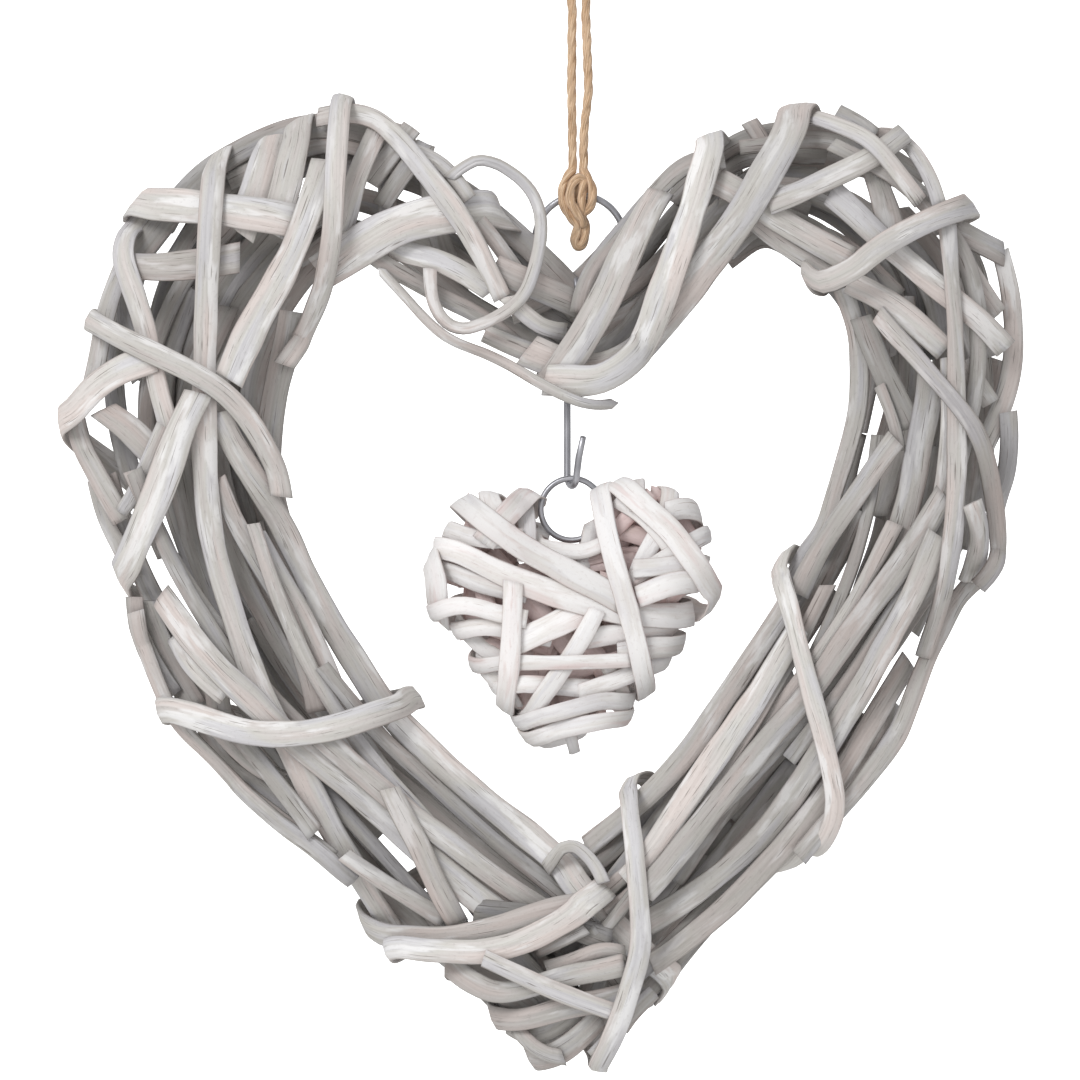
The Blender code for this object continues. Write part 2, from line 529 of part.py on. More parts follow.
def back_route(line, first, last, start_share, end_share):
    """Places on the back of one arm, from one station to another, drifting across it."""
    line = np.array(line, float)
    places = []
    for station in range(first, last + 1):
        before = line[max(station - 1, 0), :2]
        after = line[min(station + 1, len(line) - 1), :2]
        along = (after - before) / np.linalg.norm(after - before)
        share = start_share + (end_share - start_share) * (station - first) / (last - first)
        place = line[station, :2] + share * line[station, 2] * np.array([along[1], -along[0]])
        places.append((place[0], place[1], BACK))
    return places


def make_wreath(material, parent, hardware):
    """The wreath's splints, each laid over those before it, clear of the ring and the hook."""
    body = Body([LEFT_ARM, RIGHT_ARM], MM, WREATH_DEPTH)
    pile = Pile()
    for item in hardware:
        pile.add(*evaluated(item))
    make_back_layer(body, pile, material, parent)
    back = [(name, WIDE, back_route(*route)) for name, *route in BACK_RUNNERS]
    for name, width, places in [RING_SPLINT] + back + RUNNERS + BINDINGS + TENDRILS:
        spacing = THIN_SEGMENT if width == THIN else SEGMENT
        nodes, outward = route_on(body, places, spacing)
        corners, triangles = lay(pile, nodes, outward, width, thickness_of(width), SPLINT_GAP)
        pile.add(corners, triangles)
        add_mesh(name, corners, triangles, material, parent)


def make_back_layer(body, pile, material, parent):
    """The back's lower layer as one fused piece, put on the pile that the other splints are laid over."""
    routes = [back_route(*route) for route in BACK_LAYER]
    fused = Pile()
    meshes = []
    for places in routes:
        nodes, outward = route_on(body, places, BACK_SEGMENT)
        meshes.append(lay_fused(fused, nodes, outward, WIDE, SPLINT_THICKNESS, PILE_REACH * MM))
    for corners, triangles in meshes:
        pile.add(corners, triangles)
    return fuse("back_layer", meshes, material, parent)


def make_small_heart(material, parent):
    """The small heart: woven splints fused where they cross."""
    body = Body([SMALL_BODY], SMALL_MM, SMALL_HEART_DEPTH, between=1)
    place = np.array([SMALL_HEART_PLACE[0] * MM, 0.0, SMALL_HEART_PLACE[1] * MM])
    pile = Pile()
    meshes = []
    for places in SMALL_BACK_SPLINTS + SMALL_SPLINTS:
        nodes, outward = route_on(body, places, SMALL_SEGMENT)
        corners, triangles = lay_fused(pile, nodes, outward, SMALL_SPLINT_WIDTH, SMALL_SPLINT_THICKNESS,
                                       SMALL_PILE_REACH * SMALL_MM)
        meshes.append((corners + place, triangles))
    return fuse("small_heart", meshes, material, parent)


def fuse(name, meshes, material, parent):
    """One object from splints that bite into one another: the first, united with the others."""
    whole = add_mesh(name, *meshes[0], material, parent)
    others = bpy.data.collections.new(name + "_splints")
    bpy.context.scene.collection.children.link(others)
    for number, (corners, triangles) in enumerate(meshes[1:]):
        item = add_mesh(f"{name}_splint_{number}", corners, triangles, material, parent)
        bpy.context.scene.collection.objects.unlink(item)
        others.objects.link(item)
        item.hide_render = True
        item.display_type = "WIRE"
    union = whole.modifiers.new("weave", "BOOLEAN")
    union.operation = "UNION"
    union.solver = "MANIFOLD"
    union.operand_type = "COLLECTION"
    union.collection = others
    return whole


def lay_fused(pile, nodes, outward, width, thickness, reach):
    """The mesh of a splint pressed onto the pile, so that it bites into what it crosses, and added to it."""
    across, outward = frames(nodes, outward)
    lifts = np.zeros(len(nodes))
    tree = pile.tree()
    if tree is not None:
        needed = heights_below(tree, nodes, across, outward, width, reach) + thickness / 2 - FUSED_BITE
        needed = np.clip(needed, 0, None)
        lifts[:-1] = needed
        lifts[1:] = (lifts[1:] + np.append(needed[1:], needed[-1])) / 2
    corners, triangles = splint_mesh(nodes + outward * lifts[:, None], across, outward, width, thickness)
    pile.add(corners, triangles)
    return corners, triangles


def evaluated(item):
    """An object's corners in its parent's space and its faces as triangles, modifiers included."""
    solid = item.evaluated_get(bpy.context.evaluated_depsgraph_get())
    mesh = solid.to_mesh()
    mesh.calc_loop_triangles()
    corners = [np.array(item.matrix_local @ vertex.co) for vertex in mesh.vertices]
    triangles = [tuple(triangle.vertices) for triangle in mesh.loop_triangles]
    solid.to_mesh_clear()
    return corners, triangles


def make_ring(name, diameter, wire, place, sides, turns, material, parent):
    """A wire ring seen face on from the front."""
    bpy.ops.mesh.primitive_torus_add(
        major_radius=diameter / 2, minor_radius=wire / 2, major_segments=turns, minor_segments=sides
    )
    ring = bpy.context.object
    ring.name = name
    ring.rotation_euler = (math.pi / 2, 0, 0)
    ring.location = place
    ring.parent = parent
    ring.data.materials.append(material)
    for face in ring.data.polygons:
        face.use_smooth = True
    return ring


def tube(name, points, diameter, material, parent, resolution=1):
    """A round wire or cord along a polyline, with filled ends."""
    curve = bpy.data.curves.new(name, "CURVE")
    curve.dimensions = "3D"
    curve.bevel_depth = diameter / 2
    curve.bevel_resolution = resolution
    curve.use_fill_caps = True
    spline = curve.splines.new("POLY")
    spline.points.add(len(points) - 1)
    for point, place in zip(spline.points, points):
        point.co = (*place, 1)
    curve.materials.append(material)
    return add_object(name, curve, parent)


def hook_points(ring_bottom, small_ring_top):
    """The hook's wire: a tail, over the ring's lowest wire, down the spine, and up round the small ring."""
    radius = HOOK_BEND_RADIUS
    turn = np.array([math.cos(HOOK_TURN), -math.sin(HOOK_TURN)])
    upper = ring_bottom + RING_WIRE / 2 + WIRE_GAP + HOOK_WIRE / 2 - radius
    lower = small_ring_top - SMALL_RING_WIRE / 2 - WIRE_GAP - HOOK_WIRE / 2 + radius
    flat = [(radius, HOOK_TAIL_END * MM)]
    flat += [(radius * math.cos(angle), upper + radius * math.sin(angle))
             for angle in np.linspace(0, math.pi, BEND_POINTS)]
    flat += [(radius * math.cos(angle), lower + radius * math.sin(angle))
             for angle in np.linspace(math.pi, 2 * math.pi, BEND_POINTS)]
    flat += [(radius + HOOK_END_FLARE, HOOK_SPINE_END * MM)]
    return [(HOOK_ACROSS * MM + aside * turn[0], aside * turn[1], up) for aside, up in flat]


def make_knot(ring, material, parent):
    """The knot with its short tail, bored where the ring's wire passes through."""
    place = (KNOT_PLACE[0] * MM, 0.0, KNOT_PLACE[1] * MM)
    bpy.ops.mesh.primitive_uv_sphere_add(
        segments=KNOT_SEGMENTS, ring_count=KNOT_RINGS, radius=0.5, location=place
    )
    knot = bpy.context.object
    knot.name = "cord_knot"
    knot.parent = parent
    knot.data.materials.append(material)
    for vertex in knot.data.vertices:
        vertex.co = [value * size for value, size in zip(vertex.co, KNOT_SIZE)]
    low = place[2] - KNOT_SIZE[2] / 2
    tail_length = low + KNOT_TAIL_BITE - KNOT_TAIL_END * MM
    bpy.ops.mesh.primitive_cone_add(
        vertices=KNOT_TAIL_SIDES, radius1=KNOT_TAIL_WIDTH / 2, radius2=KNOT_TAIL_TAPER * KNOT_TAIL_WIDTH / 2,
        depth=tail_length, location=(place[0], 0, KNOT_TAIL_END * MM + tail_length / 2),
    )
    tail = bpy.context.object
    tail.name = "tail"
    tail.parent = parent
    bore = make_ring("bore", RING_DIAMETER, RING_WIRE + 2 * BORE_GAP, ring.location,
                     BORE_SIDES, BORE_TURNS, material, parent)
    for guide, way in ((tail, "UNION"), (bore, "DIFFERENCE")):
        guide.hide_render = True
        guide.display_type = "WIRE"
        cut = knot.modifiers.new(guide.name, "BOOLEAN")
        cut.operation = way
        cut.object = guide
    return knot


def cord_points():
    """The cord's own points, read evenly from a smooth curve through its route."""
    route = [(across * MM, -front * MM, up * MM) for across, up, front in CORD_ROUTE]
    fine = np.array([point for _, _, point in curve_through(route)])
    return even_points(fine, CORD_STEP * CORD_DIAMETER)


def main():
    clear_scene()
    nail = bpy.data.objects.new("wreath_tip", None)
    bpy.context.scene.collection.objects.link(nail)
    nail.location = (0, 0, -CORD_TOP * MM + CORD_DIAMETER / 2)
    steel = make_material("steel_wire", STEEL, 0.35, 1.0)
    willow = make_material("whitewashed_willow", WILLOW, 0.75)
    white = make_material("white_painted_willow", WHITE_PAINT, 0.65)
    jute = make_material("jute_twine", JUTE, 0.9)

    ring_place = (RING_PLACE[0] * MM, 0, RING_PLACE[1] * MM)
    ring = make_ring("hanging_ring", RING_DIAMETER, RING_WIRE, ring_place, WIRE_SIDES, RING_TURNS, steel, nail)
    ring_bottom = ring_place[2] - RING_DIAMETER / 2
    small_place = (SMALL_HEART_PLACE[0] * MM, 0,
                   SMALL_HEART_PLACE[1] * MM + SMALL_RING_RISE * SMALL_MM)
    make_ring("small_heart_ring", SMALL_RING_DIAMETER, SMALL_RING_WIRE, small_place,
              WIRE_SIDES, SMALL_RING_TURNS, steel, nail)
    hook = tube("hook", hook_points(ring_bottom, small_place[2] + SMALL_RING_DIAMETER / 2),
                HOOK_WIRE, steel, nail)
    make_knot(ring, jute, nail)
    tube("hanging_cord", [tuple(point) for point in cord_points()], CORD_DIAMETER, jute, nail, 2)
    make_wreath(willow, nail, [ring, hook])
    make_small_heart(white, nail)


main()
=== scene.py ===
# %% [markdown]
# # A heart-shaped willow wreath
# The real wreath is made of whitewashed willow splints: rods split lengthwise, laid over one another round
# a hollow bundle and held by a few that wrap round it. Inside the heart hangs a small, denser heart on a
# wire hook.

# %% Load the frame
import math

import bpy
import numpy as np
from mathutils.bvhtree import BVHTree
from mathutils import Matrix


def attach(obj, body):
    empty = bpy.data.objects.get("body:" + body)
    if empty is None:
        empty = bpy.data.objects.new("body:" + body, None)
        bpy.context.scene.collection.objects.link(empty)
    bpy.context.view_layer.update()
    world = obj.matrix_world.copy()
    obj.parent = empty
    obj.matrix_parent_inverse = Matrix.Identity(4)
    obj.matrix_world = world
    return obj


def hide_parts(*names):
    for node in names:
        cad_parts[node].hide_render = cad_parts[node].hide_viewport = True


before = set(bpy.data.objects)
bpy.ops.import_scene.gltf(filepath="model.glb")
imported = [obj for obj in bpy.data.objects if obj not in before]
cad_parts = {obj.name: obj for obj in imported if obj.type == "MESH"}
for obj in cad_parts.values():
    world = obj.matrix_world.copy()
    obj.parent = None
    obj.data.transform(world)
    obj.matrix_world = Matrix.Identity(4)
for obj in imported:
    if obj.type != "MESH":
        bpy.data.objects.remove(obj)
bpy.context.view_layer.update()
print("CAD nodes:", len(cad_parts))

# %% [markdown]
# ## Places
# Places on the wreath are read in millimetres from its tip, across and up in the front view. The frame's
# origin is the top of the hanging loop, so one function turns a place into the frame's metres.

# %% Millimetres to the frame
MM = 0.001
LOOP_HEIGHT = 358.5


def place(across, up, front=0.0):
    """A place on the wreath, in millimetres right of, above and in front of its tip, in the frame."""
    return np.array([across * MM, -front * MM, (up - LOOP_HEIGHT) * MM])


# %% [markdown]
# ## Camera
# The photograph looks straight at the front from far away, so its outlines are almost free of perspective.
# A long lens 2.8 m away does the same. The picture is 1080 pixels wide and shows 340.7 mm.

# %% Camera
VIEW_WIDTH = 340.7
VIEW_CENTRE = (-12.0, 166.0)
CAMERA_DISTANCE = 2.8

camera_data = bpy.data.cameras.new("camera")
camera_data.sensor_width = 36.0
camera_data.lens = camera_data.sensor_width * CAMERA_DISTANCE / (VIEW_WIDTH * MM)
camera = bpy.data.objects.new("camera", camera_data)
camera.location = place(*VIEW_CENTRE, CAMERA_DISTANCE / MM)
camera.rotation_euler = (math.radians(90), 0, 0)
bpy.context.scene.collection.objects.link(camera)
bpy.context.scene.camera = camera
print("lens", round(camera_data.lens), "mm")

# %% [markdown]
# ## Colours and nodes
# Colours are picked as sRGB hex values, the way a paint program shows them, and one function turns them
# into the linear values that a shader works in. One more function adds a node with its settings and links.

# %% Helpers for materials
def linear(hex_colour):
    """A hex colour as linear red, green, blue and alpha."""
    channels = [int(hex_colour[start : start + 2], 16) / 255 for start in (1, 3, 5)]
    return [value / 12.92 if value <= 0.04045 else ((value + 0.055) / 1.055) ** 2.4
            for value in channels] + [1.0]


def add_node(tree, kind, settings=(), **links):
    """A new node. Settings are its properties or a ramp's stops; links its inputs, each a value or a node."""
    node = tree.nodes.new("ShaderNode" + kind)
    for name, value in dict(settings).items():
        if name == "stops":
            while len(node.color_ramp.elements) < len(value):
                node.color_ramp.elements.new(0.5)
            for element, (position, colour) in zip(node.color_ramp.elements, value):
                element.position, element.color = position, linear(colour)
        else:
            setattr(node, name, value)
    for name, value in links.items():
        key = int(name[1:]) if name[0] == "i" and name[1:].isdigit() else name.replace("_", " ")
        if isinstance(value, bpy.types.Node):
            value = next(output for output in value.outputs if output.enabled)
        if isinstance(value, bpy.types.NodeSocket):
            tree.links.new(value, node.inputs[key])
        else:
            node.inputs[key].default_value = value
    return node


def new_material(name):
    """A material, its node tree and its shader."""
    material = bpy.data.materials.new(name)
    material.use_nodes = True
    return material, material.node_tree, material.node_tree.nodes["Principled BSDF"]


# %% [markdown]
# ## Whitewashed willow
# Split willow is a pale wood with long, fine grain. Thin white limewash soaks in unevenly: it leaves chalky
# patches, greyer bare streaks and hair cracks along the grain, and it looks faintly pink or lilac where the
# wood shows through. The grain runs along each splint, so the texture uses the splint's own coordinates:
# metres along it and across it, kept in a UV map. A colour attribute gives each splint its own tone, which
# for the deep splints is darker as painted shade, and tells where its edges and underside are, which are
# darkened towards the crack colour as painted shade. The small heart's splints are painted white more
# thickly, so that only faint pink streaks of their wood show; its inner splints take a pinkish-brown painted
# shade. Both finishes are dull, as limewash and chalky paint are.

# %% Willow material
# Lengths and widths of the grain, chalky patches, tints, cracks and specks, in metres
GRAIN_LENGTH = 0.030
GRAIN_WIDTH = 0.0009
PATCH_LENGTH = 0.030
PATCH_WIDTH = 0.0052
HUE_LENGTH = 0.050
HUE_WIDTH = 0.0065
CRACK_LENGTH = 0.017
CRACK_WIDTH = 0.00045
SPECK_SIZE = 0.0009
# How much of the wood each of them takes at most
TINT_SHARE = 0.55
WASH_COVER = 0.72
SPECK_COVER = 0.13
CRACK_COVER = 0.7
# The edges' share is painted shade, darkening each splint's edges and underside
EDGE_SHADE_COVER = 0.42
WARM_COVER = 0.85
# The brightness of tone 0 and of tone 1
DARKEST_TONE = 0.46
LIGHTEST_TONE = 1.24


def streaks(tree, length, width, detail=3.0, rough=0.55, offset=0.0):
    """Noise drawn out along the splint: streaks of this length and width in metres."""
    flat = add_node(tree, "UVMap", {"uv_map": "grain"})
    scaled = add_node(tree, "Mapping", Vector=flat, Scale=(1 / length, 1 / width, 1), Location=(offset,) * 3)
    return add_node(tree, "TexNoise", {"noise_dimensions": "2D"}, Vector=scaled, Scale=1.0, Detail=detail,
                    Roughness=rough)


RGBA = {"data_type": "RGBA"}
MULTIPLY = {"data_type": "RGBA", "blend_type": "MULTIPLY"}


def willow_material(name, dark, middle, light, wash, warm, green, cool, crack_and_edge_shade, crack_start, wash_more):
    """Split willow under thin paint. A higher crack_start gives fewer cracks, wash_more spreads the wash."""
    material, tree, shader = new_material(name)
    tone = add_node(tree, "Attribute", {"attribute_name": "tone"})
    light_warm_edge_shade = add_node(tree, "SeparateColor", Color=tone).outputs
    grain = streaks(tree, GRAIN_LENGTH, GRAIN_WIDTH, 4.0, 0.6)
    patches = streaks(tree, PATCH_LENGTH, PATCH_WIDTH, 3.0, 0.6, 7.3)
    hues = streaks(tree, HUE_LENGTH, HUE_WIDTH, 2.0, 0.5, 3.1)
    hairs = streaks(tree, CRACK_LENGTH, CRACK_WIDTH, 2.0, 0.5, 11.7)
    specks = streaks(tree, 2 * SPECK_SIZE, SPECK_SIZE, 2.0, 0.6, 17.9)

    wood = add_node(tree, "ValToRGB", {"stops": [(0.3, dark), (0.5, middle), (0.7, light)]}, Fac=grain)
    tint = add_node(tree, "ValToRGB", {"stops": [(0.34, warm), (0.46, middle), (0.54, green), (0.66, cool)]},
                    Fac=hues)
    wood = add_node(tree, "Mix", RGBA, i0=TINT_SHARE, i6=wood, i7=tint)
    cover = add_node(tree, "MapRange", Value=patches, From_Min=0.62 - wash_more, From_Max=0.72 - wash_more,
                     To_Max=WASH_COVER)
    wood = add_node(tree, "Mix", RGBA, i0=cover, i6=wood, i7=linear(wash))
    speckle = add_node(tree, "MapRange", Value=specks, From_Min=0.60, From_Max=0.76, To_Max=SPECK_COVER)
    wood = add_node(tree, "Mix", RGBA, i0=speckle, i6=wood, i7=linear(crack_and_edge_shade))
    open_cracks = add_node(tree, "MapRange", Value=hairs, From_Min=crack_start, From_Max=crack_start + 0.06,
                           To_Max=CRACK_COVER)
    wood = add_node(tree, "Mix", RGBA, i0=open_cracks, i6=wood, i7=linear(crack_and_edge_shade))
    # Painted shade: each splint's edges and underside are darkened towards the crack colour
    edge = add_node(tree, "MapRange", Value=light_warm_edge_shade["Blue"], To_Max=EDGE_SHADE_COVER)
    wood = add_node(tree, "Mix", RGBA, i0=edge, i6=wood, i7=linear(crack_and_edge_shade))
    # The red channel is each splint's lightness: its own tone, and painted shade for the splints that lie
    # deep or lower
    brightness = add_node(tree, "MapRange", Value=light_warm_edge_shade["Red"], To_Min=DARKEST_TONE,
                          To_Max=LIGHTEST_TONE)
    toned = add_node(tree, "HueSaturation", Color=wood, Saturation=1.0, Value=brightness)
    warmth = add_node(tree, "MapRange", Value=light_warm_edge_shade["Green"], To_Max=WARM_COVER)
    warmed = add_node(tree, "Mix", MULTIPLY, i0=warmth, i6=toned, i7=linear(warm))
    tree.links.new(warmed.outputs[2], shader.inputs["Base Color"])

    roughness = add_node(tree, "MapRange", Value=patches, From_Min=0.3, From_Max=0.7, To_Min=0.88,
                         To_Max=0.70)
    tree.links.new(roughness.outputs[0], shader.inputs["Roughness"])
    shader.inputs["Specular IOR Level"].default_value = 0.35
    relief = add_node(tree, "Math", {"operation": "ADD"}, i0=grain, i1=specks)
    bump = add_node(tree, "Bump", Height=relief, Strength=0.22, Distance=0.0004)
    tree.links.new(bump.outputs[0], shader.inputs["Normal"])
    return material


willow = willow_material(
    "whitewashed_willow", dark="#aca7a4", middle="#c5c0bd", light="#d2cfcd", wash="#e0dfdf", warm="#cfc2bd",
    green="#c1c0ba", cool="#c4c5cb", crack_and_edge_shade="#655c56", crack_start=0.68, wash_more=0.06)
# Its warm colour is a faint pink tint of the wood, and in full the pinkish-brown painted shade of the small
# heart's inner splints
white_willow = willow_material(
    "white_painted_willow", dark="#d8d0cc", middle="#e4e0de", light="#ebe9e8", wash="#f1f0f0", warm="#dfcac8",
    green="#e2e0dc", cool="#e0e0e4", crack_and_edge_shade="#a08a80", crack_start=0.74, wash_more=0.20)
print("materials:", willow.name, white_willow.name)

# %% [markdown]
# ## Steel and jute
# The rings and the hook are drawn steel wire: a dull, slightly cloudy grey with soft reflections. The loop
# is jute twine, three soft golden plies twisted together, with loose fibres standing off it. Jute is dull
# and a little hairy, so it has a faint sheen and no gloss. A jute fibre is far finer than the picture can
# show, so the fibres are drawn 0.3 mm wide.

# %% Drawn steel wire
# A scuff is 1.1 mm long and a cloud 11 mm
SCUFFS_PER_METRE = 900.0
CLOUDS_PER_METRE = 90.0


def steel_material():
    """Drawn steel wire: grey metal, slightly uneven, with soft reflections."""
    material, tree, shader = new_material("drawn_steel_wire")
    spot = add_node(tree, "TexCoord").outputs["Object"]
    fine = add_node(tree, "TexNoise", Vector=spot, Scale=SCUFFS_PER_METRE, Detail=3.0)
    broad = add_node(tree, "TexNoise", Vector=spot, Scale=CLOUDS_PER_METRE, Detail=2.0)
    colour = add_node(tree, "ValToRGB", {"stops": [(0.35, "#95959a"), (0.65, "#bebec3")]}, Fac=broad)
    tree.links.new(colour.outputs[0], shader.inputs["Base Color"])
    roughness = add_node(tree, "MapRange", Value=fine, From_Min=0.3, From_Max=0.7, To_Min=0.34, To_Max=0.5)
    tree.links.new(roughness.outputs[0], shader.inputs["Roughness"])
    shader.inputs["Metallic"].default_value = 1.0
    bump = add_node(tree, "Bump", Height=fine, Strength=0.15, Distance=0.0001)
    tree.links.new(bump.outputs[0], shader.inputs["Normal"])
    return material


steel = steel_material()
print("material:", steel.name)

# %% Jute twine's material
# In metres
FIBRE_LENGTH = 0.010
FIBRE_WIDTH = 0.00030
STRAND_LENGTH = 0.012
STRAND_WIDTH = 0.0014


def jute_material():
    """Jute fibres: golden tan with brown between them, dull and a little hairy."""
    material, tree, shader = new_material("jute_twine")
    fibres = streaks(tree, FIBRE_LENGTH, FIBRE_WIDTH, 4.0, 0.65)
    broad = streaks(tree, STRAND_LENGTH, STRAND_WIDTH, 2.0, 0.5, 5.0)
    fibre = add_node(tree, "ValToRGB", {"stops": [(0.32, "#987250"), (0.5, "#d2af8c"), (0.68, "#f6ddc0")]},
                     Fac=fibres)
    cover = add_node(tree, "MapRange", Value=broad, From_Min=0.45, From_Max=0.7, To_Max=0.4)
    colour = add_node(tree, "Mix", RGBA, i0=cover, i6=fibre, i7=linear("#dfc2a3"))
    tree.links.new(colour.outputs[2], shader.inputs["Base Color"])
    shader.inputs["Roughness"].default_value = 0.9
    shader.inputs["Sheen Weight"].default_value = 0.25
    bump = add_node(tree, "Bump", Height=fibres, Strength=0.8, Distance=0.0004)
    tree.links.new(bump.outputs[0], shader.inputs["Normal"])
    return material


jute = jute_material()
print("material:", jute.name)

# %% [markdown]
# ## The bundle
# Before any splint is laid, the bundle is thought of as a smooth body: a middle line down each arm with a
# half width, rounded from front to back. A splint's route is drawn on it in the front view, and its depth
# follows from the body. A third value at a place says that the route turns over the outline there, runs on
# the back, or has a depth of its own in millimetres. The share of the depth that the body takes leaves room
# for the splints that are laid on it.

# %% The bundle's shape
WREATH_DEPTH = 54.0
HOLLOW_SHARE = 0.74
OUTWARD_LEAN = 0.2
FACING_SHARE = 0.5
EDGE_INSET = 2.4
EDGE = "edge"
BACK = "back"
LEFT_ARM = [
    (0, 231, 15), (-26, 251, 22), (-54, 271, 22), (-77, 277, 25), (-99, 266, 29), (-117, 243, 31),
    (-126, 214, 31), (-125, 190, 30), (-118, 165, 28), (-106, 140, 27), (-93, 118, 27), (-77, 98, 26),
    (-57, 78, 26), (-36, 58, 26), (-16, 41, 26), (-3, 28, 26),
]
RIGHT_ARM = [
    (0, 231, 15), (20, 244, 15), (38, 264, 17), (55, 277, 20), (75, 276, 25), (95, 264, 27),
    (109, 246, 28), (113, 223, 27), (110, 196, 26), (103, 170, 26), (91, 145, 24), (76, 120, 24),
    (62, 100, 24), (46, 80, 24), (29, 60, 24), (14, 44, 24), (-1, 29, 25),
]


class Body:
    """A rounded body in millimetres that splints are laid on, seen from the front."""

    def __init__(self, lines, depth, share, inset, between=6):
        self.inset = inset
        rows = []
        for line in lines:
            line = np.array(line, float)
            for first, second in zip(line[:-1], line[1:]):
                rows += [first + (second - first) * step / between for step in range(between)]
            rows.append(line[-1])
        rows = np.array(rows)
        self.middle = rows[:, :2]
        self.radius = rows[:, 2]
        self.half_depth = share * depth / 2 * np.sqrt(self.radius / self.radius.max())

    def nearest(self, across, up):
        """The half depth at a place, with the section that gives it."""
        offset = np.array([across, up]) - self.middle
        distance = np.hypot(offset[:, 0], offset[:, 1])
        heights = self.half_depth * np.sqrt(np.clip(1 - (distance / self.radius) ** 2, 0, None))
        best = int(heights.argmax()) if heights.max() > 0 else int((distance - self.radius).argmin())
        return heights[best], best, offset[best]

    def normal(self, point, lean):
        """The way out of the body at a point, leaning this share as far to the side as the body does."""
        _, best, offset = self.nearest(point[0], point[2])
        side = lean * offset / self.radius[best] ** 2
        least = FACING_SHARE * self.half_depth[best] * (1 - lean) / (1 - OUTWARD_LEAN)
        ahead = min(point[1], -least) if lean < 1 else point[1]
        out = np.array([side[0], ahead / self.half_depth[best] ** 2, side[1]])
        length = np.linalg.norm(out)
        return out / length if length > 1e-9 else np.array([0.0, -1.0, 0.0])


bundle = Body([LEFT_ARM, RIGHT_ARM], WREATH_DEPTH, HOLLOW_SHARE, EDGE_INSET)
print("bundle sections:", len(bundle.middle))

# %% [markdown]
# ## From places to a route
# A splint is stiff, so its route is a smooth curve through a few places, without kinks. These functions
# draw the curve, space its points evenly and blur small steps away.

# %% Curves and even points
def distances_along(points):
    """How far along a line each of its points lies."""
    return np.concatenate([[0], np.cumsum(np.linalg.norm(np.diff(points, axis=0), axis=1))])


def curve_through(places, steps=24):
    """Points of a smooth curve through the places, with the stretch and the share of it for each."""
    places = np.array(places, float)
    time = distances_along(places)
    slopes = np.gradient(places, time, axis=0)
    points = []
    for index in range(len(places) - 1):
        length = time[index + 1] - time[index]
        for step in range(steps + (index == len(places) - 2)):
            share = step / steps
            square, cube = share * share, share**3
            point = ((2 * cube - 3 * square + 1) * places[index]
                     + (cube - 2 * square + share) * length * slopes[index]
                     + (3 * square - 2 * cube) * places[index + 1]
                     + (cube - square) * length * slopes[index + 1])
            points.append((index, share, point))
    return points


def even_points(points, spacing):
    """The same line with its points evenly spaced."""
    travelled = distances_along(points)
    count = max(2, int(round(travelled[-1] / spacing)))
    marks = np.linspace(0, travelled[-1], count + 1)
    return np.stack([np.interp(marks, travelled, points[:, axis]) for axis in range(points.shape[1])], axis=1)


def blurred(rows, reach, passes=2):
    """Rows averaged with their neighbours, with the first and last kept."""
    rows = rows.copy()
    for _ in range(passes):
        padded = np.concatenate([np.repeat(rows[:1], reach, 0), rows, np.repeat(rows[-1:], reach, 0)])
        mean = sum(padded[shift : shift + len(rows)] for shift in range(2 * reach + 1)) / (2 * reach + 1)
        mean[0], mean[-1] = rows[0], rows[-1]
        rows = mean
    return rows


# %% A route on a body
FINE_SPACING = 1.0
BLUR_REACH = 3


def set_in(body, spot):
    """A place on the outline moved inwards, so that a splint that turns over it stays within it."""
    offset = body.nearest(*spot)[2]
    return tuple(np.array(spot) - offset / np.linalg.norm(offset) * body.inset)


def route_on(body, places, spacing):
    """Evenly spaced nodes of a route on a body, and the way out of the body at each."""
    rules = [item[2] if len(item) > 2 else None for item in places]
    spots = [set_in(body, item[:2]) if rule == EDGE else item[:2] for item, rule in zip(places, rules)]
    points = []
    for index, share, (across, up) in curve_through(spots):
        first, second = rules[index], rules[index + 1]
        on_surface = (-1 if BACK in (first, second) else 1) * body.nearest(across, up)[0]
        starts, ends = (0.0 if rule == EDGE else on_surface if rule in (None, BACK) else rule
                        for rule in (first, second))
        lean_here, lean_there = (1.0 if rule in (EDGE, BACK) else OUTWARD_LEAN for rule in (first, second))
        depth = starts + (ends - starts) * share
        lean = lean_here + (lean_there - lean_here) * share
        points.append((across, -depth, up, lean))
    rows = even_points(np.array(points), FINE_SPACING)
    fine = blurred(rows[:, :3], BLUR_REACH)
    nodes = even_points(fine, spacing)
    outward = np.array([body.normal(point, lean) for point, lean in zip(fine[::2], rows[::2, 3])])
    outward = blurred(outward, 2)
    picks = np.linspace(0, len(outward) - 1, len(nodes))
    marks = np.arange(len(outward))
    outward = np.stack([np.interp(picks, marks, outward[:, axis]) for axis in range(3)], axis=1)
    return nodes, outward


def square_frames(nodes, outward):
    """The width and outward directions at each node, square to the route."""
    along = np.gradient(nodes, axis=0)
    along /= np.linalg.norm(along, axis=1, keepdims=True)
    outward = outward - along * (outward * along).sum(1, keepdims=True)
    outward /= np.linalg.norm(outward, axis=1, keepdims=True)
    return np.cross(along, outward), outward


# %% [markdown]
# ## Laying one splint over others
# Each splint is laid on the pile of those before it. Rays dropped onto the pile find how high it stands
# under the new splint, and the splint rises over it and comes down again in a long, stiff arc, as split
# wood does.

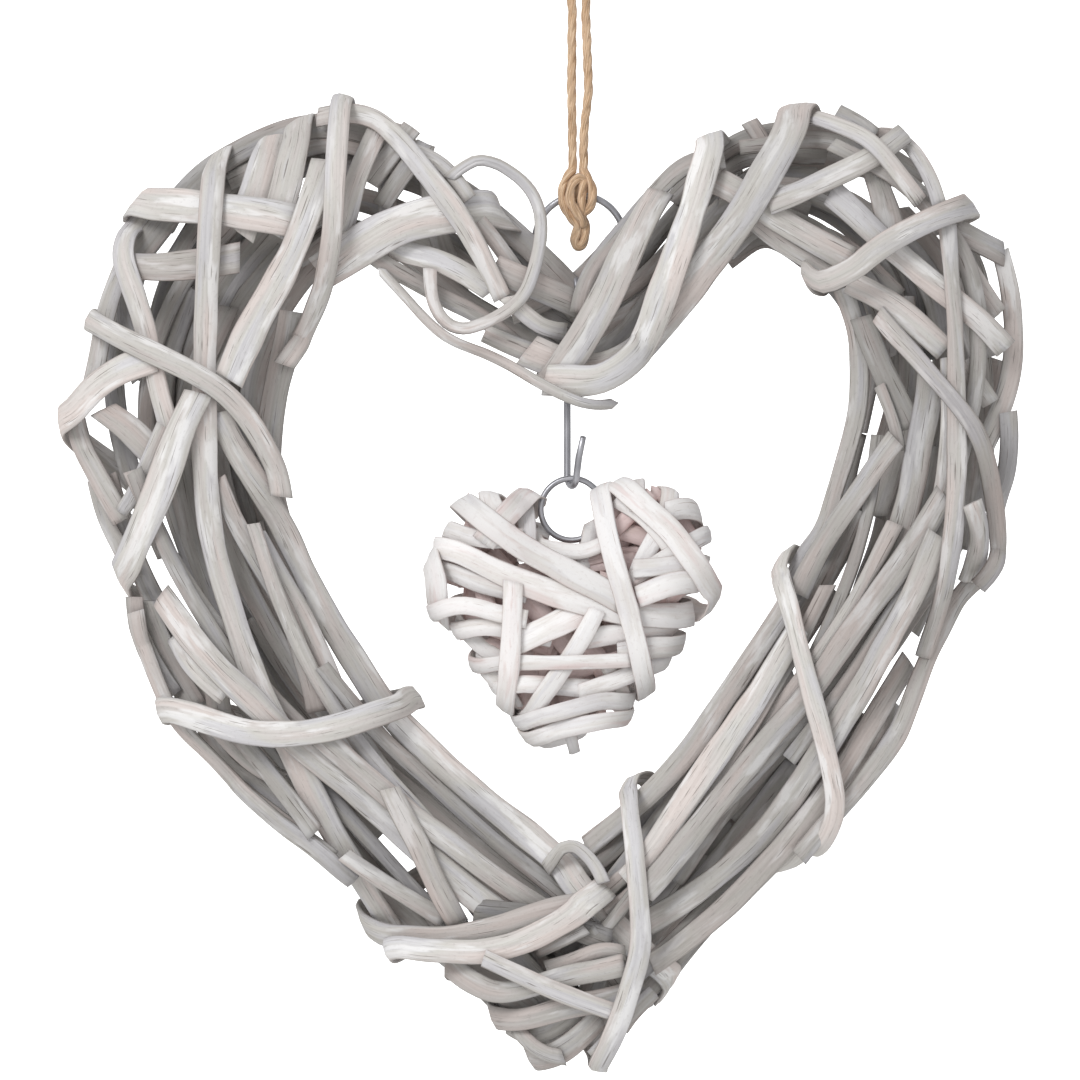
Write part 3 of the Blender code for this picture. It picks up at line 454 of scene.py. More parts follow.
# %% The pile
class Pile:
    """The splints already laid, as plain bars."""

    def __init__(self):
        self.corners = []
        self.triangles = []

    def add(self, nodes, across, outward, width, thickness):
        """Put one splint on the pile as a square bar."""
        start = len(self.corners)
        for node, side, up in zip(nodes, across, outward):
            for right, top in ((1, -1), (1, 1), (-1, 1), (-1, -1)):
                self.corners.append(tuple(node + side * right * width / 2 + up * top * thickness / 2))
        for ring in range(len(nodes) - 1):
            for edge in range(4):
                first = start + 4 * ring + edge
                second = start + 4 * ring + (edge + 1) % 4
                self.triangles += [(first, first + 4, second), (second, first + 4, second + 4)]

    def tree(self):
        """The pile ready for rays, or nothing when it is empty."""
        return BVHTree.FromPolygons(self.corners, self.triangles) if self.triangles else None


# %% Laying a splint on the pile
NODE_SPACING = 4.0
LIFT_REACH = 16.0
RAY_LENGTH = 1.6 * LIFT_REACH
RAY_STATIONS = (0.0, 0.33, 0.67)
RAY_WIDTHS = (-0.52, -0.26, 0.0, 0.26, 0.52)
ARC_PASSES = 14


def lay(pile, nodes, outward, width, thickness, bite=0.0, passes=ARC_PASSES):
    """The nodes raised so that the splint clears the pile, with its width and outward directions."""
    across, outward = square_frames(nodes, outward)
    tree = pile.tree()
    lifts = np.zeros(len(nodes))
    if tree is not None:
        for index in range(len(nodes) - 1):
            down = (-outward[index]).tolist()
            for share in RAY_STATIONS:
                spot = nodes[index] * (1 - share) + nodes[index + 1] * share
                for part in RAY_WIDTHS:
                    start = spot + across[index] * part * width + outward[index] * LIFT_REACH
                    hit, _, _, distance = tree.ray_cast(start.tolist(), down, RAY_LENGTH)
                    if hit is not None:
                        needed = LIFT_REACH - distance + thickness / 2 - bite
                        lifts[index : index + 2] = np.maximum(lifts[index : index + 2], needed)
        for _ in range(passes):
            spread = lifts.copy()
            spread[1:-1] = (lifts[:-2] + lifts[2:]) / 2
            lifts = np.maximum(lifts, spread)
        lifts = blurred(lifts[:, None], 1, 1)[:, 0]
    raised = nodes + outward * lifts[:, None]
    across, outward = square_frames(raised, outward)
    return raised, across, outward


# %% [markdown]
# ## A splint's own shape
# A split rod is a flat strip with a gently crowned face. Its width and thickness wander, its edges are
# nicked, it twists a little and its ends are cut slightly askew. Smooth random waves, seeded by the
# splint's name, give every splint its own character and the same one on every run. One could sculpt or
# displace a strip, but rings of points that carry the waves cost far fewer faces.

# %% The section and its waves
# From the lower right edge over the crowned face and back underneath, as shares of half the size
SECTION = np.array([
    (1.0, -0.35), (0.97, 0.15), (0.90, 0.36), (0.34, 0.96), (0.22, 1.0), (-0.56, 0.74), (-0.66, 0.68),
    (-0.93, 0.24), (-0.99, 0.0), (-0.98, -0.5), (-0.8, -0.9), (0.0, -1.0), (0.82, -0.9),
])
# Painted shade on each splint's edges and underside: how much of the darker colour each of these points takes
EDGE_SHADE = np.array([1.0, 0.9, 0.25, 0.0, 0.0, 0.0, 0.0, 0.3, 0.9, 1.0, 0.8, 0.5, 0.8])
RING_SPACING = 2.0
SEED_RANGE = 99991
# For each wave its usual length in millimetres and its size
WAVES = {"twist": (38, 0.10), "width": (30, 0.055), "nicks": (8, 0.022), "left edge": (11, 0.03),
         "thickness": (26, 0.08), "ridge": (60, 1.2), "light": (45, 0.06)}


def seed_of(name):
    """A number of its own for a splint's name."""
    return sum((index + 1) * ord(letter) for index, letter in enumerate(name)) % SEED_RANGE


def waves(random, marks, length, size):
    """A smooth random wave along the marks, in millimetres: its usual length and its size."""
    knots = np.arange(marks[0] - 2 * length, marks[-1] + 3 * length, length)
    values = random.normal(0, 1, len(knots))
    slots = np.clip(np.searchsorted(knots, marks) - 1, 1, len(knots) - 3)
    share = (marks - knots[slots]) / length
    before, first, second, after = (values[slots + shift] for shift in (-1, 0, 1, 2))
    return size * (first + 0.5 * share * (second - before + share * (
        2 * before - 5 * first + 4 * second - after + share * (3 * (first - second) + after - before))))


def smooth_rings(rows, count):
    """Rows read between with a smooth curve."""
    spots = np.linspace(0, len(rows) - 1, count)
    slots = np.clip(spots.astype(int), 0, len(rows) - 2)
    share = (spots - slots)[:, None]
    padded = np.concatenate([2 * rows[:1] - rows[1:2], rows, 2 * rows[-1:] - rows[-2:-1]])
    before, first, second, after = (padded[slots + shift] for shift in (0, 1, 2, 3))
    return first + 0.5 * share * (second - before + share * (
        2 * before - 5 * first + 4 * second - after + share * (3 * (first - second) + after - before)))


# %% One splint
RIDGE_SHIFT = 0.22
BLUNT_END = 0.62
ASKEW_CUT = 0.22
CUT_REACH = 4


def ring_faces(rings, around, closed=False):
    """Faces between rings of points, with a face at either end unless the rings close on themselves."""
    faces = []
    for ring in range(rings if closed else rings - 1):
        first, second = ring * around, (ring + 1) % rings * around
        faces += [(first + k, second + k, second + (k + 1) % around, first + (k + 1) % around)
                  for k in range(around)]
    if not closed:
        faces += [tuple(range(around)), tuple((rings - 1) * around + k for k in reversed(range(around)))]
    return faces


def splint_arrays(name, nodes, across, outward, width, thickness, tone, round_ends=False):
    """Corners, faces, grain coordinates and tones of one splint, in millimetres."""
    random = np.random.default_rng(seed_of(name))
    length = np.linalg.norm(np.diff(nodes, axis=0), axis=1).sum()
    count = max(6, int(length / RING_SPACING) + 1)
    nodes, across, outward = (smooth_rings(rows, count) for rows in (nodes, across, outward))
    across, outward = square_frames(nodes, outward)
    marks = np.linspace(0, length, count)

    twist = waves(random, marks, *WAVES["twist"])
    cosine, sine = np.cos(twist)[:, None], np.sin(twist)[:, None]
    across, outward = across * cosine + outward * sine, outward * cosine - across * sine
    widths = width * (1 + waves(random, marks, *WAVES["width"]) + waves(random, marks, *WAVES["nicks"]))
    left = widths * (1 + waves(random, marks, *WAVES["left edge"]))
    heights = thickness * (1 + waves(random, marks, *WAVES["thickness"]))
    ridge = RIDGE_SHIFT * np.tanh(waves(random, marks, *WAVES["ridge"]))
    end_reach = np.minimum(marks, length - marks)
    if round_ends:
        close = np.sqrt(np.clip(end_reach / (0.5 * width), 0.02, 1))
        widths, left = widths * close, left * close
    heights = heights * np.clip(BLUNT_END + end_reach / (1.1 * thickness), 0, 1)

    sides = np.where(SECTION[:, 0] > 0, widths[:, None], left[:, None]) / 2 * SECTION[:, 0]
    top = SECTION[:, 1] > 0.6
    sides = sides + np.where(top, ridge[:, None] * width / 2, 0)
    ups = heights[:, None] / 2 * SECTION[:, 1]
    along = np.cross(outward, across)
    askew = np.zeros_like(sides)
    for cut, reach in zip(random.normal(0, ASKEW_CUT, 2), (marks, length - marks)):
        askew += sides * cut * np.exp(-reach / CUT_REACH)[:, None]
    corners = (nodes[:, None] + across[:, None] * sides[..., None] + outward[:, None] * ups[..., None]
               + along[:, None] * askew[..., None])

    around = len(SECTION)
    turn = distances_along(SECTION * (width, thickness)) / 2
    shift = random.uniform(0, 50, 2)
    grain = np.stack([np.repeat(marks[:, None] * MM, around, 1) + shift[0],
                      np.repeat(turn[None] * MM, count, 0) + shift[1]], axis=-1)
    light, warm = tone
    light = light + random.normal(0, 0.05) + waves(random, marks, *WAVES["light"])
    tones = np.stack([np.repeat(light[:, None], around, 1), np.full((count, around), warm),
                      np.repeat(EDGE_SHADE[None], count, 0), np.ones((count, around))], axis=-1)
    return corners.reshape(-1, 3), ring_faces(count, around), grain.reshape(-1, 2), tones.reshape(-1, 4)


# %% An object from splints
def mesh_object(name, pieces, material):
    """One object from the arrays of one or more pieces, in the frame."""
    corners, faces, grain, tones = [], [], [], []
    for piece in pieces:
        start = sum(len(item) for item in corners)
        corners.append(piece[0])
        faces += [tuple(start + index for index in face) for face in piece[1]]
        grain.append(piece[2])
        tones.append(piece[3])
    corners = np.concatenate(corners) * MM
    corners[:, 2] -= LOOP_HEIGHT * MM
    mesh = bpy.data.meshes.new(name)
    mesh.from_pydata(corners.tolist(), [], faces)
    loops = np.empty(len(mesh.loops), np.int32)
    mesh.loops.foreach_get("vertex_index", loops)
    layer = mesh.uv_layers.new(name="grain")
    layer.data.foreach_set("uv", np.concatenate(grain)[loops].astype(np.float32).ravel())
    tone = mesh.color_attributes.new("tone", "FLOAT_COLOR", "POINT")
    tone.data.foreach_set("color", np.concatenate(tones).astype(np.float32).ravel())
    mesh.shade_smooth()
    mesh.materials.append(material)
    item = bpy.data.objects.new(name, mesh)
    bpy.context.scene.collection.objects.link(item)
    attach(item, "root")
    return item


# %% [markdown]
# ## Which splint lies where
# The wreath's splints were read off the photograph one by one, from the lowest to the last laid. Each has a
# name, a width in millimetres, a tone and its places. Six tones cover them: chalky bright, plain, soft, grey,
# which is partly greyer wood and partly painted shade, warm, and a dark painted shade for the ones deep
# inside. Where the photograph shows white ground through the bundle, a gap is written down, and the filling
# keeps out of it.

# %% Tones and gaps
# How light and how warm
BRIGHT = (0.96, 0.0)
PLAIN = (0.78, 0.08)
SOFT = (0.60, 0.1)
# Partly greyer wood and partly painted shade, for the splints that lie lower or in the bundle's shade
GREY_AND_PAINTED_SHADE = (0.42, 0.1)
WARM = (0.66, 0.3)
# Painted shade: a dark colour for the splints that lie deep inside
DEEP_PAINTED_SHADE = (0.20, 0.15)
# Where one sees right through the bundle: across, up and half size
GAPS = [
    (-129, 258.5, 2.5), (-83, 279.5, 3.5), (-87, 239.5, 2.5), (-66, 269, 1.5), (-53, 275, 2.5),
    (-141, 211, 3.5), (-151, 200, 4.5), (-128, 149, 2.5), (-126, 157, 2.5), (-95, 86, 2), (-89, 81.5, 2),
    (-56, 65.5, 2.5), (-52, 62.5, 2.5), (-48, 59, 2), (-74, 127, 2.5), (-70, 121, 3), (-67, 117, 2),
    (-33.5, 47, 1.8), (88.5, 276.5, 2), (100, 275.5, 2), (82, 263.5, 2), (52, 283, 1.8), (129, 251.5, 3),
    (132.5, 229, 1.8), (93, 200, 2.4), (91, 167, 3.5), (87, 147.5, 1.3), (77.5, 135.5, 3), (96, 122, 3),
    (119.5, 156, 1.8), (-49, 243, 3.5), (-38, 237, 4), (-31, 244, 2.5), (-7, 215.5, 1.5), (13, 232.5, 1.5),
]
print("gaps left open:", len(GAPS))

# %% Places along an arm
def along_arm(line, first, last, start_share, end_share, rule=None):
    """Places along one arm between two stations, from one share of its half width to another."""
    line = np.array(line, float)
    places = []
    for station in range(first, last + 1):
        before = line[max(station - 1, 0), :2]
        after = line[min(station + 1, len(line) - 1), :2]
        way = (after - before) / np.linalg.norm(after - before)
        share = start_share + (end_share - start_share) * (station - first) / (last - first)
        spot = line[station, :2] + share * line[station, 2] * np.array([way[1], -way[0]])
        places.append((spot[0], spot[1]) if rule is None else (spot[0], spot[1], rule))
    return places


# %% [markdown]
# ## The wreath's own splints
# These are the splints that the photograph shows, in the order they are laid. Names that are also nodes of
# the CAD frame replace those nodes, and the others are smaller splints that only the picture has. The
# strips between the others follow an arm from station to station, and the photograph shows no more than
# parts of them.

# %% The left lobe and arm
LEFT_SPLINTS = [
    ("left_edge_shade_splint", 6.5, DEEP_PAINTED_SHADE, [(-143, 253, 1), (-143, 241, 1), (-141.5, 229, 1),
        (-138, 217, 1)]),
    ("outer_left_splint", 6, SOFT, [(-143, 252), (-147, 243), (-149.5, 233), (-151, 223), (-153.5, 213)]),
    ("left_rim_splint", 5, SOFT, [(-152, 185), (-149.5, 174), (-145.5, 166), (-141, 158)]),
    ("left_shade_splint", 7.5, GREY_AND_PAINTED_SHADE, [(-159, 205), (-157, 197), (-152, 188), (-147.5, 180), (-143, 172)]),
    ("left_patch_splint", 9, WARM, [(-149, 207), (-141, 201), (-134, 194), (-126, 186)]),
    ("first_fan_splint", 9, PLAIN, [(-93, 291, BACK), (-96, 296.5, EDGE), (-98, 287), (-101.5, 275),
        (-106, 262)]),
    ("second_fan_splint", 9.5, PLAIN, [(-84, 292, BACK), (-86.5, 297.5, EDGE), (-89, 288), (-92, 275),
        (-96, 262)]),
    ("lobe_shade_splint", 6, GREY_AND_PAINTED_SHADE, [(-57.5, 297.5, 3), (-60, 285, 5), (-60, 270, 5), (-60, 258, 5)]),
    ("lobe_grey_strip", 7, DEEP_PAINTED_SHADE, [(-50, 288, 2), (-46, 276, 4), (-44, 262, 5), (-40, 252, 5)]),
    ("lobe_short_strip", 6, GREY_AND_PAINTED_SHADE, [(-70, 283, 6), (-60, 284, 6), (-50, 284, 4), (-42, 281, 2)]),
    ("lobe_low_stub_splint", 6.5, GREY_AND_PAINTED_SHADE, [(-48, 290, 2), (-55, 281, 4), (-62, 271, 5)]),
    ("lobe_stub_splint", 6.5, SOFT, [(-52.5, 295, 3), (-59, 287, 5), (-66, 278, 6)]),
    ("third_fan_splint", 7, PLAIN, [(-62, 297), (-66, 288), (-70, 278), (-73, 266), (-77, 254)]),
    ("second_left_band", 8.5, WARM, [(-142, 252), (-130, 251.5), (-118, 252.5), (-106, 254.5)]),
    ("left_edge_splint", 7, PLAIN, [(-138, 268, -3), (-141.5, 260), (-142, 254), (-140, 247), (-137, 237),
        (-134, 226), (-131.5, 213), (-127, 198)]),
    ("upper_left_band", 10, BRIGHT, [(-126, 268, BACK), (-141, 269, EDGE), (-130, 270.5), (-117, 270),
        (-104, 268.5), (-94, 267), (-85, 265)]),
    ("left_turning_band", 9, BRIGHT, [(-133, 223), (-146, 217.5), (-152.5, 211.5), (-155.5, 204.5, EDGE),
        (-150, 194, BACK), (-140, 184, BACK)]),
    ("thin_left_splint", 4.5, PLAIN, [(-130, 202), (-135, 190), (-139, 181), (-143, 175)]),
    ("left_inner_edge_splint", 8.5, GREY_AND_PAINTED_SHADE, [(-90, 238, 4), (-92.5, 225, 4), (-95.5, 212, 4),
        (-97.5, 198, 4), (-97, 184, 4), (-94.5, 172, 4)]),
    ("left_third_runner", 6, SOFT, [(-101, 168), (-95, 157), (-88, 145), (-82, 133), (-77, 122),
        (-73, 113), (-69, 105), (-65, 99), (-60, 92)]),
    ("left_inner_runner", 8.5, PLAIN, [(-113, 206), (-107, 194), (-101, 184), (-95, 174), (-89, 162),
        (-83, 149.5), (-76, 137), (-69, 126), (-61, 114), (-52, 104)]),
    ("left_second_runner", 6, GREY_AND_PAINTED_SHADE, [(-113, 185), (-108, 173), (-101, 160), (-95, 150), (-90, 140),
        (-87, 130), (-84, 121), (-82, 112)]),
    ("tip_loop_shade_splint", 10, DEEP_PAINTED_SHADE, [(-10, 60.5, 3), (-1, 62.5, 3), (7, 67.5, 3), (17, 78, 3)]),
    ("left_first_between_strip", 4.5, GREY_AND_PAINTED_SHADE, along_arm(LEFT_ARM, 7, 13, 0.5, -0.3)),
    ("left_second_between_strip", 5, SOFT, along_arm(LEFT_ARM, 8, 14, -0.6, -0.1)),
    ("left_third_between_strip", 4.2, DEEP_PAINTED_SHADE, along_arm(LEFT_ARM, 9, 15, 0.2, 0.6)),
    ("left_fourth_between_strip", 5, GREY_AND_PAINTED_SHADE, along_arm(LEFT_ARM, 7, 12, 0.45, 0.1)),
    ("left_fifth_between_strip", 5, DEEP_PAINTED_SHADE, along_arm(LEFT_ARM, 10, 15, -0.55, -0.7)),
    ("left_short_upright", 8, WARM, [(-113, 128), (-112.5, 112)]),
    ("left_long_runner", 7.8, PLAIN, [(-112, 283, BACK), (-112.5, 290.5, EDGE), (-114, 275), (-116, 250),
        (-117, 222), (-117, 190), (-114.5, 165), (-108, 143), (-100, 120), (-91, 103), (-81, 83),
        (-70, 63), (-59, 44)]),
    ("left_low_edge_strip", 8, GREY_AND_PAINTED_SHADE, [(-137, 147), (-133, 137), (-129, 127), (-121, 114)]),
    ("left_short_slant", 7, PLAIN, [(-126, 136), (-120, 128), (-115, 123), (-109, 117)]),
    ("upper_left_edge_strip", 6, GREY_AND_PAINTED_SHADE, [(-139, 150), (-137, 141), (-134, 132), (-130.5, 125),
        (-126, 118)]),
    ("lower_left_rim_splint", 6, GREY_AND_PAINTED_SHADE, [(-117, 114), (-115, 104), (-110, 95), (-103, 90), (-95, 84.5),
        (-87, 78)]),
    ("lower_left_thin_strip", 5, GREY_AND_PAINTED_SHADE, [(-104, 88.5), (-96, 82.5), (-89, 77.5), (-82, 72.5), (-75, 67)]),
    ("left_lower_shade_strip", 6, GREY_AND_PAINTED_SHADE, [(-114, 110), (-108, 102), (-101, 95), (-93, 91)]),
    ("left_cross_runner", 8.8, PLAIN, [(-131, 148.5), (-127, 144), (-120, 135.5), (-110, 124.5),
        (-99, 113.5), (-88, 103), (-75, 92.5), (-62, 81), (-48, 68), (-33, 55), (-24, 48)]),
    ("left_slant_splint", 9, BRIGHT, [(-119, 212), (-124.5, 200), (-128, 190), (-131.5, 180),
        (-135.5, 170), (-139.5, 160), (-143, 151.5, EDGE), (-132, 144, BACK)]),
    ("lower_left_edge_splint", 5.5, SOFT, [(-138, 147), (-135.5, 138), (-131.5, 127), (-124, 112),
        (-114, 101), (-103, 88.5), (-92, 79), (-79, 69.5), (-70, 60)]),
    ("lower_left_strip", 5.5, GREY_AND_PAINTED_SHADE, [(-106, 104.5), (-100, 98), (-94, 91), (-88, 84), (-82, 76)]),
    ("lower_left_short_strip", 5.5, SOFT, [(-72, 68), (-60, 59), (-51, 53), (-42, 47)]),
    ("lower_left_runner", 7.5, SOFT, [(-81, 105), (-72, 97), (-62, 88), (-52, 80), (-42, 72.5), (-31, 64),
        (-20, 56), (-9, 49)]),
    ("lower_left_crossing", 7, WARM, [(-59, 88), (-54.5, 79), (-49.5, 70), (-45.5, 61), (-42, 54),
        (-37.5, 46)]),
    ("inner_left_runner", 8.8, BRIGHT, [(-58, 110), (-50, 102), (-42, 94.5), (-32, 86), (-21, 77),
        (-12, 69), (-4, 61), (5, 52), (14, 42.5), (21, 36), (27, 31), (31.5, 26, EDGE), (24, 20, BACK)]),
]

# %% The dip between the lobes
DIP_SPLINTS = [
    ("dip_splint", 7, BRIGHT, [(-68, 262), (-60, 258.5), (-53, 256), (-46, 254.5), (-38, 251),
        (-27, 244)]),
    ("low_dip_band", 5.5, GREY_AND_PAINTED_SHADE, [(-66, 257), (-58, 252), (-49, 246.5), (-40, 241), (-31, 236.5),
        (-24, 231), (-17, 225)]),
    ("dip_shoulder_band", 12.5, BRIGHT, [(-46, 269.5), (-35, 270), (-27, 270.5), (-20.5, 267.5, EDGE),
        (-24, 260, BACK)]),
    ("left_thick_splint", 12.5, PLAIN, [(-81, 250), (-72, 256.5), (-63, 261.5), (-54, 265.5),
        (-46, 267.3), (-38.5, 268.5)]),
    ("left_bright_splint", 9.5, BRIGHT, [(-79, 285), (-82.5, 274), (-86.5, 263.5), (-91, 253.5),
        (-96, 244), (-101, 235), (-105.5, 226), (-109.5, 216)]),
    ("dip_shade_splint", 5, GREY_AND_PAINTED_SHADE, [(-31, 266), (-25.5, 259), (-20.5, 252), (-16, 246)]),
    ("lower_dip_band", 6.5, PLAIN, [(-28, 232, 7), (-22, 229, 8), (-15, 225.5, 9), (-7, 223, 9),
        (1, 221.5, 8)]),
    ("dip_cross_band", 8.5, GREY_AND_PAINTED_SHADE, [(-25, 251, 10), (-17, 247, 11.5), (-9, 243.5, 11.5), (0, 240, 10.5)]),
    ("dip_knee_splint", 5.5, PLAIN, [(-20, 241, 10), (-15, 236, 11.5), (-10, 232.5, 12),
        (-4, 231.5, 11.5)]),
    ("dip_rim_splint", 4.5, PLAIN, [(-58, 291), (-52, 288.5), (-45.5, 285.5), (-41, 281.5), (-37, 276.5),
        (-34, 272)]),
    ("upper_dip_splint", 6.5, PLAIN, [(-82, 299), (-73, 299.5), (-65, 297.5), (-58.5, 292.5),
        (-52, 285.5), (-45.5, 277.5), (-38.5, 268.5), (-32.5, 259), (-28, 250.5), (-24, 242.5)]),
    ("left_top_splint", 7, PLAIN, [(-73, 292, BACK), (-74.5, 299.5, EDGE), (-75.5, 288), (-76.5, 272),
        (-78.5, 256), (-83, 241), (-88.5, 229), (-92.5, 221, 8)]),
    ("left_cross_band", 7, PLAIN, [(-153.5, 235.5), (-143, 229.5), (-132, 224), (-120, 218), (-111, 212),
        (-104.5, 204.5), (-99.5, 195.5), (-96, 187), (-94.5, 179)]),
]

print("left lobe and arm:", len(LEFT_SPLINTS) + len(DIP_SPLINTS))

# %% The right lobe and arm
RIGHT_SPLINTS = [
    ("upper_shade_splint", 8, GREY_AND_PAINTED_SHADE, [(92, 284), (96, 272), (98.5, 262)]),
    ("outer_right_splint", 6.4, PLAIN, [(133, 256.5), (135.5, 247), (137, 236), (137, 225), (135, 213),
        (131, 203), (126, 193)]),
    ("outer_rim_splint", 8, SOFT, [(118, 264), (126, 259.5), (133, 256)]),
    ("shoulder_strip", 6, SOFT, [(54, 267), (62, 260.5), (70, 255.5), (79, 250)]),
    ("small_outer_strip", 6.5, SOFT, [(117.5, 260), (122, 251), (127, 244), (132, 237)]),
    ("thin_right_strip", 6, PLAIN, [(121, 222), (125, 215.5), (129.5, 209)]),
    ("right_rim_splint", 6, SOFT, [(134, 207), (134, 195), (133.5, 185), (132, 176)]),
    ("inner_right_edge_splint", 6, SOFT, [(83, 245), (87, 234), (88.5, 221), (88, 208), (85, 195),
        (81, 182), (77, 169), (71, 160.5), (67, 152)]),
    ("right_steep_strip", 8, GREY_AND_PAINTED_SHADE, [(89, 236), (94, 223), (98.5, 213), (104, 201)]),
    ("thin_inner_strip", 4, SOFT, [(95, 214), (99, 203), (101, 194)]),
    ("right_grey_splint", 8.5, GREY_AND_PAINTED_SHADE, [(111, 219), (109, 206), (106.5, 194), (104.5, 182), (101, 169),
        (95, 156), (87, 144)]),
    ("right_first_between_strip", 4.5, DEEP_PAINTED_SHADE, along_arm(RIGHT_ARM, 8, 14, 0.62, -0.1)),
    ("right_second_between_strip", 5, SOFT, along_arm(RIGHT_ARM, 9, 15, 0.15, 0.5)),
    ("right_third_between_strip", 4.2, GREY_AND_PAINTED_SHADE, along_arm(RIGHT_ARM, 9, 15, -0.3, 0.3)),
    ("right_fourth_between_strip", 5, PLAIN, along_arm(RIGHT_ARM, 7, 12, -0.1, -0.62)),
    ("right_fifth_between_strip", 5.5, GREY_AND_PAINTED_SHADE, along_arm(RIGHT_ARM, 4, 12, -0.6, -0.2)),
    ("right_sixth_between_strip", 4.5, GREY_AND_PAINTED_SHADE, along_arm(RIGHT_ARM, 10, 16, 0.6, 0.1)),
    ("right_seventh_between_strip", 5, DEEP_PAINTED_SHADE, along_arm(RIGHT_ARM, 11, 16, -0.75, -0.5)),
    ("right_inner_splint", 7, SOFT, [(100, 198), (93, 188), (86.5, 178), (80, 168.5), (74, 159),
        (69, 149)]),
    ("inner_right_runner", 7, SOFT, [(67, 148), (60, 137), (52.5, 125.5), (45, 114.5), (38, 104),
        (30, 94), (21, 84.5), (12, 76), (4, 69)]),
    ("second_right_runner", 8, BRIGHT, [(70, 139), (63.5, 128), (57, 117), (50, 107), (43, 97), (36, 87),
        (29, 77), (22, 67), (15, 59)]),
    ("middle_right_runner", 7.5, SOFT, [(114, 180), (107, 168), (99, 156), (91, 145), (83, 134),
        (75, 122), (68, 113), (60, 104), (52, 94), (44, 84), (36, 74), (28, 64), (20, 55)]),
    ("right_long_runner", 8, SOFT, [(112, 168), (104, 149), (96, 134), (89, 121), (82, 110), (75, 99),
        (68, 88), (61, 78), (53, 69), (44, 61), (33, 53), (22, 46)]),
    ("right_low_edge_strip", 6.5, GREY_AND_PAINTED_SHADE, [(99, 115), (92, 104), (85.5, 94), (79, 85), (72, 77)]),
    ("outer_right_runner", 7.5, WARM, [(104, 128), (97, 118), (90, 108), (84, 98), (77, 88), (70, 79),
        (62, 69.5), (54, 60.5), (46, 52), (38, 45), (30, 38.5), (22, 33)]),
    ("right_edge_splint", 6.5, SOFT, [(127, 155), (120, 148), (114, 139), (107.5, 128), (102, 117.5),
        (96, 106.5), (89, 97), (82, 88), (74, 79), (66, 69)]),
    ("right_diagonal_splint", 7.8, PLAIN, [(79, 275), (86, 269), (92, 263), (98, 257.5), (105, 251.5),
        (112, 245.5), (119, 240), (126, 234), (132, 227)]),
    ("right_bright_splint", 8, BRIGHT, [(85, 247), (94, 242.5), (102, 237), (108.5, 231.5),
        (115, 225.5)]),
    ("right_upright_splint", 6, SOFT, [(115, 265), (116.5, 250), (117.5, 235), (118, 220), (118, 205),
        (118, 190), (117, 176), (115, 161), (112.5, 147), (107.5, 131)]),
    ("right_leaf_splint", 6.5, PLAIN, [(120.5, 181), (123.5, 171), (124.5, 162), (123, 153)]),
    ("right_curved_splint", 6, WARM, [(94.5, 236.5), (98, 232), (104, 225.5), (111, 217), (118, 208.5),
        (123.5, 200.5), (127, 191), (129, 181), (129.5, 170), (128, 160), (123.5, 153)]),
    ("right_shoulder_splint", 5, PLAIN, [(94, 293.5), (100, 294), (104, 289.5), (107.5, 283),
        (110.5, 276.5), (113, 269)]),
    ("lobe_slant_splint", 9.5, PLAIN, [(43, 279), (52, 274), (60, 268.5), (68, 263.5), (76, 259),
        (85, 254)]),
    ("upper_right_splint", 7, PLAIN, [(60, 271.5), (68, 274.5), (76, 278), (84, 281.5), (92, 285.5),
        (100, 291)]),
    ("right_crown_splint", 5.5, PLAIN, [(74, 299), (82, 295), (90, 290), (96, 284.5), (101.5, 278),
        (107, 271.5)]),
    ("dip_fill_splint", 8, GREY_AND_PAINTED_SHADE, [(0, 222, 2), (12, 229, 3), (22, 240, 3), (34, 256, 3), (46, 270, 3)]),
    ("lobe_first_knob", 6, GREY_AND_PAINTED_SHADE, [(81.5, 300.5, 2), (87, 297, 3), (93, 292, 4)]),
    ("lobe_second_knob", 5, GREY_AND_PAINTED_SHADE, [(54, 298, 2), (57.5, 293, 3), (60, 287, 4)]),
    ("lobe_arch_splint", 6, GREY_AND_PAINTED_SHADE, [(0, 238, 6), (8, 254, 7), (17, 266, 7), (27, 277, 5), (36, 283, 5),
        (46, 284, 5)]),
    ("third_dip_splint", 10.5, PLAIN, [(-9, 226, 2), (-2, 223, 6), (6, 221.5, 8), (13, 223.5, 10),
        (19, 227), (25, 233.5), (32, 242), (39.5, 252), (47.5, 262.5), (55, 273.5), (61, 284),
        (66.5, 293.5), (71, 303, EDGE), (73, 292, BACK)]),
    ("first_dip_splint", 10.2, PLAIN, [(-9, 216, 4), (-3, 223, 11), (3, 232, 12), (8.5, 241, 12.5),
        (13.5, 251, 12), (18.5, 260.5, 9), (23, 267.5, 6), (25.5, 271, 3)]),
    ("second_dip_splint", 9.5, BRIGHT, [(-7, 219.5, 7), (1, 218.6, 9), (8, 219.3, 10.5), (14, 223, 12),
        (20.5, 230), (25.5, 241), (29.5, 252), (33.5, 263), (37.5, 274), (41, 283), (45, 290, EDGE),
        (48, 281, BACK)]),
]

print("right lobe and arm:", len(RIGHT_SPLINTS))

